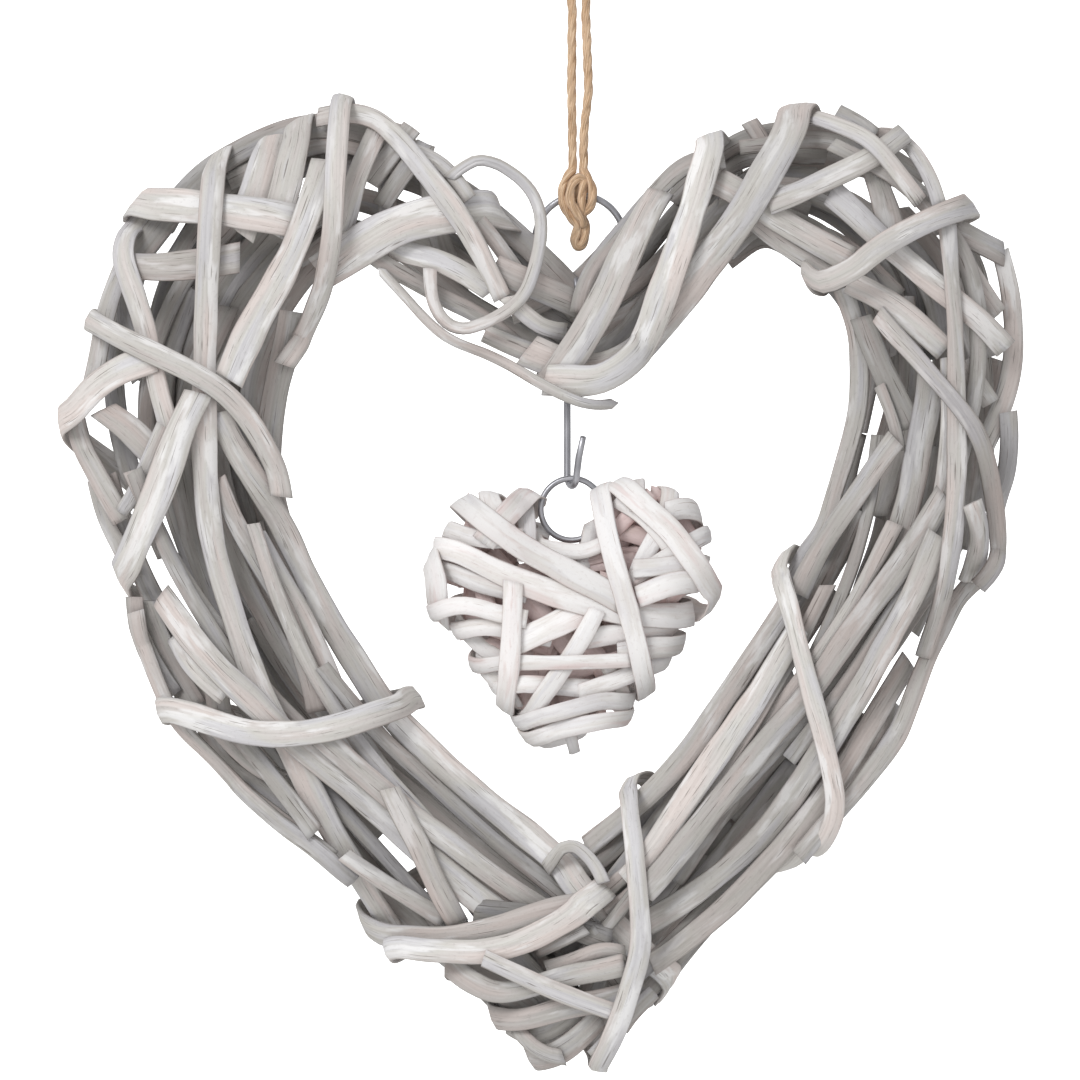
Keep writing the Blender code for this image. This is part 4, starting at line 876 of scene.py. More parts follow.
# %% Bindings and the tip
BINDING_SPLINTS = [
    ("left_binding", 8.5, BRIGHT, [(-104, 108, BACK), (-114, 112, BACK), (-123, 116.5, EDGE), (-118, 113),
        (-111, 109.5), (-101, 106.5), (-92, 105.7), (-83, 106.2), (-74, 108), (-64, 111),
        (-52.5, 113, EDGE), (-62, 111.5, BACK), (-74, 109, BACK)]),
    ("tip_dark_splint", 9, DEEP_PAINTED_SHADE, [(-38, 36, 6), (-22, 26, 8), (-6, 14, 8)]),
    ("tip_deep_splint", 9, DEEP_PAINTED_SHADE, [(-26, 42, 5), (-10, 26, 6), (2, 13, 4)]),
    ("tip_low_splint", 8, DEEP_PAINTED_SHADE, [(2, 44, 8), (12, 30, 8), (20, 18, 5)]),
    ("tip_middle_splint", 8, DEEP_PAINTED_SHADE, [(-30, 50, 5), (-10, 46, 8), (10, 40, 8)]),
    ("tip_shade_splint", 5, GREY_AND_PAINTED_SHADE, [(-13, 37), (-6, 40.5), (2, 44)]),
    ("small_tip_band", 5, SOFT, [(-22, 13), (-14, 11), (-8, 13), (-2, 17), (3, 21)]),
    ("tip_end_splint", 9, SOFT, [(-15, 5), (-6, 7), (1, 12), (7, 18)]),
    ("lowest_tip_strip", 5, SOFT, [(-19, 14.5), (-15, 10.5), (-10, 7.5), (-4, 6.5)]),
    ("right_tip_strip", 5, SOFT, [(5, 8), (11, 14), (16, 19.5), (22, 25)]),
    ("tip_cross_band", 5, SOFT, [(-10, 32), (0, 35), (9, 38.5), (14, 37)]),
    ("tip_binding", 8, PLAIN, [(-48, 60, BACK), (-64, 48.5, EDGE), (-58, 43.5), (-50, 42.5), (-40, 42.5),
        (-30, 43.7), (-20, 46.5), (-10, 49.5), (0, 51)]),
    ("second_tip_binding", 8.2, BRIGHT, [(-40, 50, BACK), (-50, 43, EDGE), (-44.5, 39.6), (-38, 38.6),
        (-28, 38.2), (-19, 40.2), (-10, 44), (-2, 48.5), (5, 53), (9.5, 57)]),
    ("tip_band", 7.5, PLAIN, [(-33.5, 34, EDGE), (-29.5, 28.5), (-24, 25.5), (-15, 26.7), (-5, 29.5),
        (5, 31.5), (13, 33.5)]),
    ("lower_tip_band", 8, PLAIN, [(-10, 28, BACK), (-25, 19.5, EDGE), (-18.5, 17), (-11, 18), (-3, 20.5),
        (6, 22), (12, 23.5)]),
    ("third_tip_binding", 6, PLAIN, [(-28, 36), (-18, 31), (-10, 27), (-3, 24), (5, 21), (11, 19)]),
    ("right_binding", 8, PLAIN, [(112, 266, BACK), (123.5, 270, EDGE), (113, 267), (103, 262.5),
        (94, 257.5), (86, 251.5), (84.5, 252.5, EDGE), (88, 252, BACK)]),
    ("right_wrap_splint", 6.5, BRIGHT, [(80, 152, BACK), (68, 160, EDGE), (66.5, 152), (67.8, 143),
        (70, 131), (72.7, 119), (75.3, 108), (77.5, 97), (78, 88), (73.5, 76.5), (67, 68),
        (61.5, 60, EDGE)]),
    ("tip_wrap_splint", 6.5, BRIGHT, [(27, 84, BACK), (19.5, 92, EDGE), (18.3, 82), (18.3, 70),
        (18.8, 58), (19.3, 48), (18.8, 38), (15.5, 28), (11.5, 18), (7.5, 10.5), (4, 5.5, EDGE)]),
]

# %% Tendril, twig and loop
TENDRILS = [
    ("curled_tendril", 4.2, PLAIN, [(-46.5, 251, 17), (-46, 243, 18), (-43, 235.5, 18.5),
        (-38, 232, 18.5), (-30, 234, 18.5), (-22, 238, 19), (-17, 242.5, 19), (-14, 251, 18),
        (-12, 260, 15), (-12.3, 269, 11), (-16, 275.5, 8), (-23, 279.5, 5), (-29, 281.5, 3),
        (-35, 279, 1)]),
    ("dip_twig", 3.4, PLAIN, [(-59, 251, 8), (-54, 245, 10), (-48, 238, 12), (-40, 230.5, 14),
        (-30, 225.5, 15), (-20, 220.5, 15.5), (-10, 215.5, 15.5), (2, 210.5, 14.5), (12, 209, 13)]),
    ("inner_tip_loop", 4.6, PLAIN, [(-9, 63.5, 8), (-5, 67.5, 9), (0, 68.8, 10), (4, 66, 12),
        (7.5, 61, 14.5), (9.5, 55, 17)]),
]
print("bindings and thin ones:", len(BINDING_SPLINTS) + len(TENDRILS))

# %% The back and the splint behind the ring
BACK_WIDTH = 8
BACK_LAYER = [
    along_arm(line, first, last, start, end, BACK) for line, first, last, start, end in (
        (LEFT_ARM, 1, 8, -0.62, -0.30), (LEFT_ARM, 2, 9, 0.66, -0.25), (LEFT_ARM, 3, 9, -0.30, 0.10),
        (LEFT_ARM, 5, 12, -0.10, -0.45), (LEFT_ARM, 6, 14, -0.60, 0.0), (LEFT_ARM, 8, 14, 0.0, 0.85),
        (LEFT_ARM, 10, 15, 0.30, -0.45),
        (RIGHT_ARM, 1, 7, 0.15, 0.85), (RIGHT_ARM, 1, 5, 0.45, -0.75), (RIGHT_ARM, 6, 13, 0.60, -0.35),
        (RIGHT_ARM, 6, 14, -0.15, 0.10), (RIGHT_ARM, 5, 12, -0.02, -0.45), (RIGHT_ARM, 9, 16, 0.88, 0.10),
        (RIGHT_ARM, 11, 16, -0.62, -0.30))
]
BACK_NODES = [
    ("left_back_outer_splint", BACK_WIDTH, PLAIN, along_arm(LEFT_ARM, 4, 11, 0.18, 0.15, BACK)),
    ("left_back_lower_splint", BACK_WIDTH, PLAIN, along_arm(LEFT_ARM, 8, 15, -0.45, 0.0, BACK)),
    ("right_back_outer_splint", BACK_WIDTH, PLAIN, along_arm(RIGHT_ARM, 6, 13, -0.38, -0.25, BACK)),
    ("right_back_lower_splint", BACK_WIDTH, PLAIN, along_arm(RIGHT_ARM, 9, 16, -0.12, 0.40, BACK)),
]
RING_SPLINT = ("ring_splint", 6, GREY_AND_PAINTED_SHADE, [(-21, 237, 2), (-12, 240.5, 2), (-4, 244.5, 1.5), (3.5, 251, -2),
                                     (9, 257.5, -6), (14, 264, -10)])

print("on the back:", len(BACK_LAYER) + len(BACK_NODES))

# %% [markdown]
# ## Filling the bundle
# The real bundle is packed: behind the splints that one can name there are shaded ones everywhere, and only
# a few gaps let the white ground through. One could place them at random, but some holes would stay open.
# Here each new splint is the best of many seeded tries: the one that closes most of what is still open.
# They lie at different depths, and the deeper one lies, the darker its colour, as painted shade.

# %% What the filling has to close
CELL = 3.0
CELL_MARGIN = 32
CLOSED_SHARE = 0.36
# Two more lines, as the tip is wider than where the arms meet
TIP_LEFT = [(-44, 56, 16), (-34, 44, 16), (-24, 34, 16), (-15, 24, 14), (-7, 14, 11), (0, 6, 8)]
TIP_RIGHT = [(42, 66, 16), (32, 52, 16), (22, 40, 16), (14, 28, 13), (8, 17, 10), (3, 7, 8)]


def blocks_a_gap(line, width):
    """Whether a splint would cover one of the gaps."""
    return any(np.hypot(line[:, 0] - across, line[:, 1] - up).min() < 0.7 * size + width / 2 - 1
               for across, up, size in GAPS)


def flat_line(places):
    """The line through places as it is seen from the front."""
    return np.array([point for _, _, point in curve_through([item[:2] for item in places], 6)])


def covered(cells, line, width):
    """Which cells a splint covers."""
    return np.hypot(cells[:, :1] - line[None, :, 0], cells[:, 1:] - line[None, :, 1]).min(axis=1) < width / 2


def open_cells():
    """Squares all over the bundle that are to be closed, without those in a gap."""
    low, high = bundle.middle.min(0) - CELL_MARGIN, bundle.middle.max(0) + CELL_MARGIN
    cells = []
    for across in np.arange(low[0], high[0], CELL):
        for up in np.arange(low[1], high[1], CELL):
            height, best, _ = bundle.nearest(across, up)
            inside = height > CLOSED_SHARE * bundle.half_depth[best]
            if inside and all(math.hypot(across - x, up - z) > size + 1 for x, z, size in GAPS):
                cells.append((across, up))
    return np.array(cells)


# %% The filling splints
FILL_COUNT = 120
FILL_TRIES = 36
FILL_SEED = 20
FILL_LINES = (LEFT_ARM, RIGHT_ARM, LEFT_ARM, RIGHT_ARM, TIP_LEFT, TIP_RIGHT)
FILL_WIDTHS = (4.5, 8.5)
# From the back to the front, as shares of the bundle's half depth there
FILL_LEVELS = (-0.6, 0.45)
FILL_DRIFT = 0.4
DIP_REACH = 0.6
ARM_REACH = 0.82
# Painted shade: the filling's lightness at the middle level, how much lighter each level towards the front
# is, and the darkest it gets
FILL_SHADED_LIGHTNESS = 0.30
LEVEL_PAINTED_SHADE = 0.24
DARKEST_PAINTED_SHADE = 0.16
FILL_WARMTH = 0.15


def filling_try(random, line):
    """One seeded splint along a line, as its width, places and level."""
    first = int(random.integers(0, len(line) - 3))
    last = min(len(line) - 1, first + int(random.integers(3, 7)))
    most = DIP_REACH if first < 2 else ARM_REACH
    start = random.uniform(-most, most)
    end = float(np.clip(start + random.normal(0, FILL_DRIFT), -most, most))
    width = random.uniform(*FILL_WIDTHS)
    return width, along_arm(line, first, last, start, end), random.uniform(*FILL_LEVELS)


def filling(front):
    """The filling splints behind the named ones, each as a name, width, tone and places."""
    random = np.random.default_rng(FILL_SEED)
    cells = open_cells()
    closed = np.zeros(len(cells), bool)
    for _, width, _, places in front:
        closed |= covered(cells, flat_line(places), width)
    print("closed by the named splints:", round(float(closed.mean()), 3))
    made = []
    for number in range(FILL_COUNT):
        best = None
        for _ in range(FILL_TRIES):
            width, places, level = filling_try(random, FILL_LINES[number % len(FILL_LINES)])
            way = flat_line(places)
            if not blocks_a_gap(way, width):
                cover = covered(cells, way, width)
                gain = (cover & ~closed).sum()
                if best is None or gain > best[0]:
                    best = (gain, cover, width, places, level)
        _, cover, width, places, level = best
        closed |= cover
        # Painted shade: the deeper a filling splint lies, the darker its colour
        light = max(DARKEST_PAINTED_SHADE, FILL_SHADED_LIGHTNESS + LEVEL_PAINTED_SHADE * level) + random.uniform(-0.05, 0.10)
        made.append((f"inner_splint_{number}", width, (light, FILL_WARMTH),
                     [(across, up, level * bundle.nearest(across, up)[0]) for across, up in places]))
    print("closed with the filling:", round(float(closed.mean()), 3))
    return made


# %% [markdown]
# ## Laying the wreath
# A bundle is built up from the inside: first the filling, then the back's layer, then the named splints in
# their order, with the bindings and the thin ones last. The filling is laid on no pile, because it lies
# deep in the bundle. The splints of the back's layer are joined into one piece, as in the CAD.

# %% Lay the wreath
THICKNESS = 2.1
ROUND_THICKNESS = 3.0
ROUND_BELOW = 4
ROUND_PASSES = 4
BACK_PASSES = 4
BACK_BITE = 0.4


def one_splint(pile, name, width, tone, body, places, passes=ARC_PASSES, bite=0.0):
    """The arrays of one splint laid on the pile, which then carries it."""
    thin = width < ROUND_BELOW
    thickness = ROUND_THICKNESS if thin else THICKNESS
    nodes, outward = route_on(body, places, NODE_SPACING)
    passes = ROUND_PASSES if thin else passes
    nodes, across, outward = lay(pile, nodes, outward, width, thickness, bite, passes)
    pile.add(nodes, across, outward, width, thickness)
    return splint_arrays(name, nodes, across, outward, width, thickness, tone, thin)


def finish_splint(name, arrays):
    """Make the object of a splint, which replaces the CAD node of its name."""
    item = mesh_object(name + "_willow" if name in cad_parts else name, arrays, willow)
    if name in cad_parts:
        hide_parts(name)


front = LEFT_SPLINTS + DIP_SPLINTS + RIGHT_SPLINTS + BINDING_SPLINTS + TENDRILS
fill = filling(front)
for name, width, tone, places in fill:
    arrays = one_splint(Pile(), name, width, tone, bundle, places)
    finish_splint(name, [arrays])
wreath_pile = Pile()
back_layer = []
for number, places in enumerate(BACK_LAYER):
    back_layer.append(one_splint(wreath_pile, f"back_layer_{number}", BACK_WIDTH, PLAIN, bundle, places,
                                 BACK_PASSES, BACK_BITE))
finish_splint("back_layer", back_layer)
for name, width, tone, places in [RING_SPLINT] + BACK_NODES + front:
    arrays = one_splint(wreath_pile, name, width, tone, bundle, places)
    finish_splint(name, [arrays])
print("splints in the wreath:", len(fill) + len(BACK_LAYER) + len(BACK_NODES) + len(front) + 1)

# %% [markdown]
# ## The small heart
# The small heart is woven densely enough to hold itself up. Its splints are laid the same way on a filled
# body of their own, pressed into each other a little, and joined into one piece, as in the CAD. A splint
# whose end is on the outline goes on a little way round the back, as the real ones are wrapped. Its places
# are read from its own middle.

# %% The small heart's splints
SMALL_PLACE = (-2, 145)
SMALL_DEPTH = 28.0
SMALL_BODY = [
    (-26, 18, 19), (-18, 12, 22), (-9, 5, 24), (0, -2, 25), (9, 6, 24), (17, 14, 22), (24, 20, 20),
    (-16, 2, 21), (-9, -8, 21), (-3, -18, 20), (-2, -28, 15), (-2, -38, 9), (14, 0, 20), (8, -10, 19),
]
SMALL_SPLINTS = [
    (5, [(2, 8, 6.5), (4.2, 16, 6.5), (5.8, 23, 4), (6.4, 26.4, 0), (5.8, 23, -4), (4, 16, -6.5),
        (2, 8, -6.5)]),
    (5.5, [(0, 12, BACK), (-13, 20, EDGE), (-5, 18), (3, 17), (10, 20)]),
    (6, [(-16, 26, BACK), (-15, 35, EDGE), (-14, 26), (-14.5, 14)]),
    (6.5, [(-41, 13, EDGE), (-33, 9), (-24, 6), (-14, 4)]),
    (6, [(-40, 25, EDGE), (-32, 22), (-23, 21), (-15, 22)]),
    (5.5, [(-37, -3, EDGE), (-33, -8), (-28, -13), (-22, -17)]),
    (6, [(-35, -6, EDGE), (-26, -6), (-16, -8), (-6, -10)]),
    (5.5, [(-28, -17, EDGE), (-24, -21), (-20, -26), (-16, -31, EDGE)]),
    (6, [(-22, -23, EDGE), (-13, -24), (-3, -25), (8, -26)]),
    (5, [(11, -18), (14.5, -24.5), (17, -30, EDGE)]),
    (6.5, [(33, -6, EDGE), (24, -8), (14, -8.5), (4, -10)]),
    (6, [(28, -15, EDGE), (20, -20), (11, -24), (2, -27)]),
    (8, [(-17, -11), (-8, -7), (0, -3), (8, 1.5)]),
    (8, [(-42.5, 19, EDGE), (-35, 17), (-26, 12.5), (-16, 8), (-6, 4.5), (4, 1.5), (15, -1.5), (26, -2.7),
        (36, -2.3), (39.5, -2, EDGE)]),
    (7, [(-27, 38, EDGE), (-25, 32), (-22, 26), (-17, 18)]),
    (8, [(-15, 28, BACK), (-10, 38.5, EDGE), (-16, 33), (-22, 27), (-28, 20)]),
    (8, [(-40, 16, EDGE), (-39.3, 9, 2), (-38, 1, EDGE)]),
    (6, [(-40, 1.5, EDGE), (-33, 1), (-23, -2), (-14, -4)]),
    (6, [(32, 40, EDGE), (31, 34), (28.5, 26), (24, 18), (19.5, 8)]),
    (7, [(41, 30, EDGE), (36, 31), (29, 29.5)]),
    (6, [(14, 34, 4), (21, 30), (29, 22), (34, 14)]),
    (5.5, [(43.5, 23.5, EDGE), (39, 21.5), (31, 16.5), (24, 12), (18, 8)]),
    (6, [(43, 14, EDGE), (36, 14), (27, 12.5), (19, 12)]),
    (6.5, [(41, 9.5, EDGE), (35, 9), (28, 6.5), (20, 3)]),
    (6, [(8, -1), (4, -8.5), (0, -15), (-5, -22.5), (-10, -30), (-12, -35, EDGE)]),
    (8, [(14, -15), (24, -12.5), (32.5, -9.5, EDGE)]),
    (5, [(-30, -16.5, EDGE), (-20, -17), (-8, -17.5), (5, -17.3), (18, -16.7)]),
    (6.5, [(-18.5, 8), (-18.7, -4), (-19, -15), (-19, -23), (-17.5, -30, EDGE)]),
    (6, [(-9, -41, EDGE), (-2, -39.5, 4), (5, -37.5, EDGE)]),
    (5.5, [(-14, -34.5, EDGE), (-6, -33), (4, -30.5), (13.5, -27.5, EDGE)]),
    (5.5, [(-10.5, -38, EDGE), (-3, -37, 5), (5, -35.2, 5), (10.5, -33, EDGE)]),
    (4.4, [(-1, -39, 3), (0, -42.5, 2), (1, -46, 0)]),
    (8, [(-37, 35.5, EDGE), (-31, 30), (-23, 24), (-15, 18.5), (-6, 13.5), (2, 9), (10, 5), (15, 2)]),
    (6, [(20.5, 42, EDGE), (20.5, 36), (21, 29)]),
    (7.5, [(17, 29, BACK), (12.5, 39.5, EDGE), (18, 35.5), (24, 30.5), (30.5, 24.5), (36, 17),
        (40.5, 9.5), (42, 4, EDGE)]),
    (6.8, [(13, 29, BACK), (9.5, 39, EDGE), (10, 31), (12, 20), (14.5, 10), (17.2, 0.5), (19.5, -8),
        (21, -16), (20.5, -24, EDGE)]),
]
SMALL_BACK_SPLINTS = [
    (7, [(-42, 12, EDGE), (-28, 12, BACK), (-12, 8, BACK), (4, 2, BACK), (20, -6, BACK),
        (34, -12, EDGE)]),
    (7, [(-30, 32, EDGE), (-24, 20, BACK), (-14, 2, BACK), (-6, -14, BACK), (2, -30, BACK),
        (4, -40, EDGE)]),
    (7, [(28, 36, EDGE), (22, 22, BACK), (12, 4, BACK), (4, -12, BACK), (-4, -28, BACK),
        (-8, -40, EDGE)]),
    (7, [(42, 16, EDGE), (26, 14, BACK), (8, 10, BACK), (-8, 14, BACK), (-20, 24, BACK),
        (-26, 36, EDGE)]),
    (7, [(-36, -8, EDGE), (-22, -10, BACK), (-4, -14, BACK), (12, -14, BACK), (26, -18, EDGE)]),
    (6, [(-38, 24, EDGE), (-28, 4, BACK), (-22, -12, BACK), (-16, -28, EDGE)]),
    (6, [(40, 22, EDGE), (30, 4, BACK), (22, -12, BACK), (14, -28, EDGE)]),
    (6, [(-20, -26, EDGE), (-4, -24, BACK), (14, -27, EDGE)]),
]
print("named splints of the small heart:", len(SMALL_SPLINTS) + len(SMALL_BACK_SPLINTS))

# %% Ends that turn over, and the inside
OVER_SHARE = 0.68
SMALL_INSET = 2.0
HOLLOW_DEPTH_SHARE = 0.5
INNER_SEED = 5
INNER_TRIES = 190
INNER_ACROSS = (-34, 34)
INNER_UP = (-28, 30)
INNER_REACH = (8, 14)
INNER_LEVELS = (-0.8, 0.95)
INNER_WIDTHS = (5, 8)
LEAST_HEIGHT = 3
LEAST_END_HEIGHT = 1
SMALL_RING_UP = 30.7
SMALL_RING_ROOM = 15
small_body = Body([SMALL_BODY], SMALL_DEPTH, HOLLOW_SHARE, SMALL_INSET, between=1)
small_hollow = Body([SMALL_BODY], SMALL_DEPTH, HOLLOW_DEPTH_SHARE, 0, between=1)


def over_the_edge(places):
    """Places whose ends on the outline go on a little way round the back."""
    places = list(places)
    if places[0][2:] == (EDGE,):
        places.insert(0, (OVER_SHARE * places[0][0], OVER_SHARE * places[0][1], BACK))
    if places[-1][2:] == (EDGE,):
        places.append((OVER_SHARE * places[-1][0], OVER_SHARE * places[-1][1], BACK))
    return places


def inner_small_splints():
    """Short shaded splints inside the small heart, so that it isn't hollow to look at."""
    random = np.random.default_rng(INNER_SEED)
    made = []
    for _ in range(INNER_TRIES):
        across, up = random.uniform(*INNER_ACROSS), random.uniform(*INNER_UP)
        body_height = small_hollow.nearest(across, up)[0]
        if body_height >= LEAST_HEIGHT:
            turn, reach = random.uniform(0, math.pi), random.uniform(*INNER_REACH)
            step = np.array([math.cos(turn), math.sin(turn)]) * reach
            deep = random.uniform(*INNER_LEVELS) * body_height
            width = random.uniform(*INNER_WIDTHS)
            made.append((width, [(across - step[0], up - step[1], deep), (across, up, deep),
                                 (across + step[0], up + step[1], deep)]))
    return [(width, places) for width, places in made
            if min(small_hollow.nearest(x, z)[0] for x, z, _ in (places[0], places[2])) > LEAST_END_HEIGHT
            and min(math.hypot(x, z - SMALL_RING_UP) for x, z, _ in places) > SMALL_RING_ROOM]


# %% Lay the small heart
SMALL_NODE_SPACING = 3.0
SMALL_LAID_THICKNESS = 1.4
SMALL_THICKNESS = 1.6
SMALL_BITE = 0.35
SMALL_PASSES = 5
# Painted shade: the inner splints are lighter but take the pinkish-brown warm colour in full, for the shade
# inside the small heart
SMALL_INNER_SHADE_TONE = (1.10, 1.0)
SMALL_OUTER_TONE = (0.73, 0.04)

inside = inner_small_splints()
small_pile = Pile()
small_middle = np.array([SMALL_PLACE[0], 0, SMALL_PLACE[1]])
small_arrays = []
for number, (width, places) in enumerate(inside + SMALL_BACK_SPLINTS + SMALL_SPLINTS):
    nodes, outward = route_on(small_body, over_the_edge(places), SMALL_NODE_SPACING)
    nodes, across, outward = lay(small_pile, nodes, outward, width, SMALL_LAID_THICKNESS, SMALL_BITE,
                                 SMALL_PASSES)
    inner = number < len(inside)
    if not inner:
        small_pile.add(nodes, across, outward, width, SMALL_LAID_THICKNESS)
    tone = SMALL_INNER_SHADE_TONE if inner else SMALL_OUTER_TONE
    small_arrays.append(splint_arrays(f"small_heart_{number}", nodes + small_middle, across, outward, width,
                                      SMALL_THICKNESS, tone))
small_heart = mesh_object("small_splint_heart", small_arrays, white_willow)
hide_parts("small_heart")
print("small heart splints:", len(small_arrays))

# %% [markdown]
# ## Wire: the two rings and the hook
# Drawn wire is round, so the rings and the hook are tubes with enough sides to look it. The hook is bent
# from one piece: a short tail, over the ring, down the back, and up again round the small ring.

# %% Round tubes
def carried_frames(along, guide):
    """Two directions square to a line at each of its points, carried along it without a twist."""
    guide = np.cross(along[0], guide)
    firsts = []
    for way in along:
        guide = guide - way * guide.dot(way)
        guide /= np.linalg.norm(guide)
        firsts.append(guide.copy())
    firsts = np.array(firsts)
    return firsts, np.cross(along, firsts)


def tube_arrays(points, radius, sides=16, closed=False, ends=1.0):
    """A round tube along points in millimetres."""
    points = np.array(points, float)
    along = np.roll(points, -1, 0) - np.roll(points, 1, 0) if closed else np.gradient(points, axis=0)
    along /= np.linalg.norm(along, axis=1, keepdims=True)
    radii = np.broadcast_to(np.asarray(radius, float), len(points)).copy()
    if not closed:
        radii[0] *= ends
        radii[-1] *= ends
    angles = np.arange(sides) * 2 * math.pi / sides
    corners = []
    for point, first, second, size in zip(points, *carried_frames(along, [0.3, 0.9, 0.1]), radii):
        corners.append(point + size * (np.cos(angles)[:, None] * first + np.sin(angles)[:, None] * second))
    count = len(points)
    around = np.arange(sides) * 2 * math.pi * radii.max() * MM / sides
    grain = np.stack([np.repeat(distances_along(points)[:, None] * MM, sides, 1),
                      np.repeat(around[None], count, 0)], axis=-1)
    tones = np.tile([0.6, 0.0, 0.0, 1.0], (count * sides, 1))
    return np.concatenate(corners), ring_faces(count, sides, closed), grain.reshape(-1, 2), tones


# %% The rings and the hook
RING_WIRE = 2.2
RING_CENTRE = (0.6, 260.6)
RING_RADIUS = 14.05
SMALL_RING_WIRE = 1.9
SMALL_RING_CENTRE = (-2.0, 175.7)
SMALL_RING_RADIUS = 9.75
HOOK_RADIUS = 3.6
HOOK_TURN = math.radians(66)
HOOK_ACROSS = -1.9
WIRE_GAP = 0.3
WIRE_END = 0.86
BEND_STEPS = 25


def ring_points(centre, radius, count=120):
    """Points round an upright ring."""
    angles = np.arange(count) * 2 * math.pi / count
    across, up = centre[0] + radius * np.cos(angles), centre[1] + radius * np.sin(angles)
    return np.stack([across, 0 * angles, up], axis=1)


def bend(height, start, end):
    """Points of one of the hook's half round bends."""
    return [(HOOK_RADIUS * math.cos(turn), height + HOOK_RADIUS * math.sin(turn))
            for turn in np.linspace(start, end, BEND_STEPS)]


def hook_points():
    """The hook's middle line: tail, upper bend, spine, lower bend and the short upright end."""
    turn = np.array([math.cos(HOOK_TURN), -math.sin(HOOK_TURN)])
    upper = RING_CENTRE[1] - RING_RADIUS + RING_WIRE / 2 + WIRE_GAP + RING_WIRE / 2 - HOOK_RADIUS
    lower = (SMALL_RING_CENTRE[1] + SMALL_RING_RADIUS - SMALL_RING_WIRE / 2 - WIRE_GAP - RING_WIRE / 2
             + HOOK_RADIUS)
    flat = [(HOOK_RADIUS, 209.5), (HOOK_RADIUS, 220), (HOOK_RADIUS, 232)]
    flat += bend(upper, 0, math.pi)
    flat += [(-HOOK_RADIUS, 230), (-HOOK_RADIUS - 0.15, 215), (-HOOK_RADIUS, 200)]
    flat += bend(lower, math.pi, 2 * math.pi)
    flat += [(HOOK_RADIUS + 1.6, 192), (HOOK_RADIUS + 5.0, 198.4)]
    return [(HOOK_ACROSS + aside * turn[0], aside * turn[1], up) for aside, up in flat]


for name, node, points, wire, closed in (
    ("hanging_ring_wire", "hanging_ring", ring_points(RING_CENTRE, RING_RADIUS), RING_WIRE, True),
    ("small_heart_ring_wire", "small_heart_ring", ring_points(SMALL_RING_CENTRE, SMALL_RING_RADIUS, 96),
     SMALL_RING_WIRE, True),
    ("hook_wire", "hook", hook_points(), RING_WIRE, False),
):
    item = mesh_object(name, [tube_arrays(points, wire / 2, closed=closed, ends=WIRE_END)], steel)
    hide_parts(node)
print("hook's wire:", RING_WIRE, "mm, ring across:", 2 * RING_RADIUS, "mm")

# %% [markdown]
# ## Jute twine
# The loop is a limp cord of about 3 mm. It is drawn as three plies that twist round each other along the
# same route as the CAD cord, with stray fibres. The knot is the same twine, wrapped round the ring's wire
# in front and behind, and its short folded end hangs below. A smooth tube with a bumpy surface would look
# moulded.

# %% Routes of the twine
CORD_DIAMETER = 3.0
KNOT_DIAMETER = 3.1
CORD_ROUTE = [
    (-1.75, 281.5, 0.0), (-1.7, 288, 0.2), (-1.9, 300, 0.2), (-2.0, 312, 0.0), (-1.9, 325, -0.2),
    (-2.2, 337, 0.0), (-4.4, 345, 0.2), (-6.4, 352, 0.2), (-4.9, 357.8, 0.1), (0.0, 360.0, 0.0),
    (4.9, 357.8, -0.1), (6.6, 352, -0.2), (5.0, 345, -0.2), (2.8, 337, 0.0), (2.7, 325, 0.2),
    (3.1, 315, 0.3), (3.2, 307, 0.2), (2.2, 298, 0.0), (1.75, 289, 0.0), (1.7, 281.5, 0.0),
]
KNOT_ROUTES = [
    [(-1.4, 283, 0), (-3.2, 280.6, 1.6), (-4.8, 277.2, 2.6), (-5.0, 273.8, 2.9), (-3.9, 270.2, 3.0),
     (-2.0, 267.3, 2.6), (-0.3, 265.2, 2.0), (-0.6, 262.4, 1.4), (-1.0, 260.2, 1.1), (-0.3, 258.6, 1.0),
     (0.8, 258.7, 0.9), (1.8, 260.4, 0.9), (2.2, 262.8, 1.0), (2.2, 265.4, 1.1), (1.4, 267.8, 0.4),
     (0.2, 269.6, -1.4), (-1.5, 272, -2.9), (-2.4, 275, -2.9), (-1, 278.5, -2.4)],
    [(1.4, 283, 0), (2.6, 280.8, 1.4), (4.2, 277.8, 2.5), (4.6, 274.4, 2.9), (3.8, 271.2, 2.7),
     (1.8, 269.3, 1.0), (0.4, 269.8, -1.4), (1.5, 272, -2.9), (3.2, 275, -2.9), (2.2, 278.6, -2.4)],
    [(1.9, 280.2, 1.6), (1.5, 277.6, 2.6), (1.2, 274.6, 2.9), (1.2, 271.6, 2.9), (1.6, 269.2, 2.2),
     (0.9, 267, 1.2)],
    [(0.1, 281.5, -0.6), (0.2, 278, 0.3), (0.0, 274, 0.4), (0.2, 270, 0.2)],
    [(2.0, 279.4, 1.6), (0.1, 280.0, 2.8), (-1.8, 278.2, 3.6), (-2.5, 275.2, 4.0), (-2.0, 272, 4.2),
     (-0.5, 269.4, 4.0), (1.0, 267.2, 3.2), (1.9, 264.8, 2.0)],
]

# %% Plies and loose fibres
PLIES = 3
PLY_SHARE = 0.35
TWIST_PITCH = 16.0
PLY_SEED = 40
FIBRE_RADIUS = 0.045
FIBRE_REACH = (0.8, 2.2)
FIBRE_BEND = 0.7


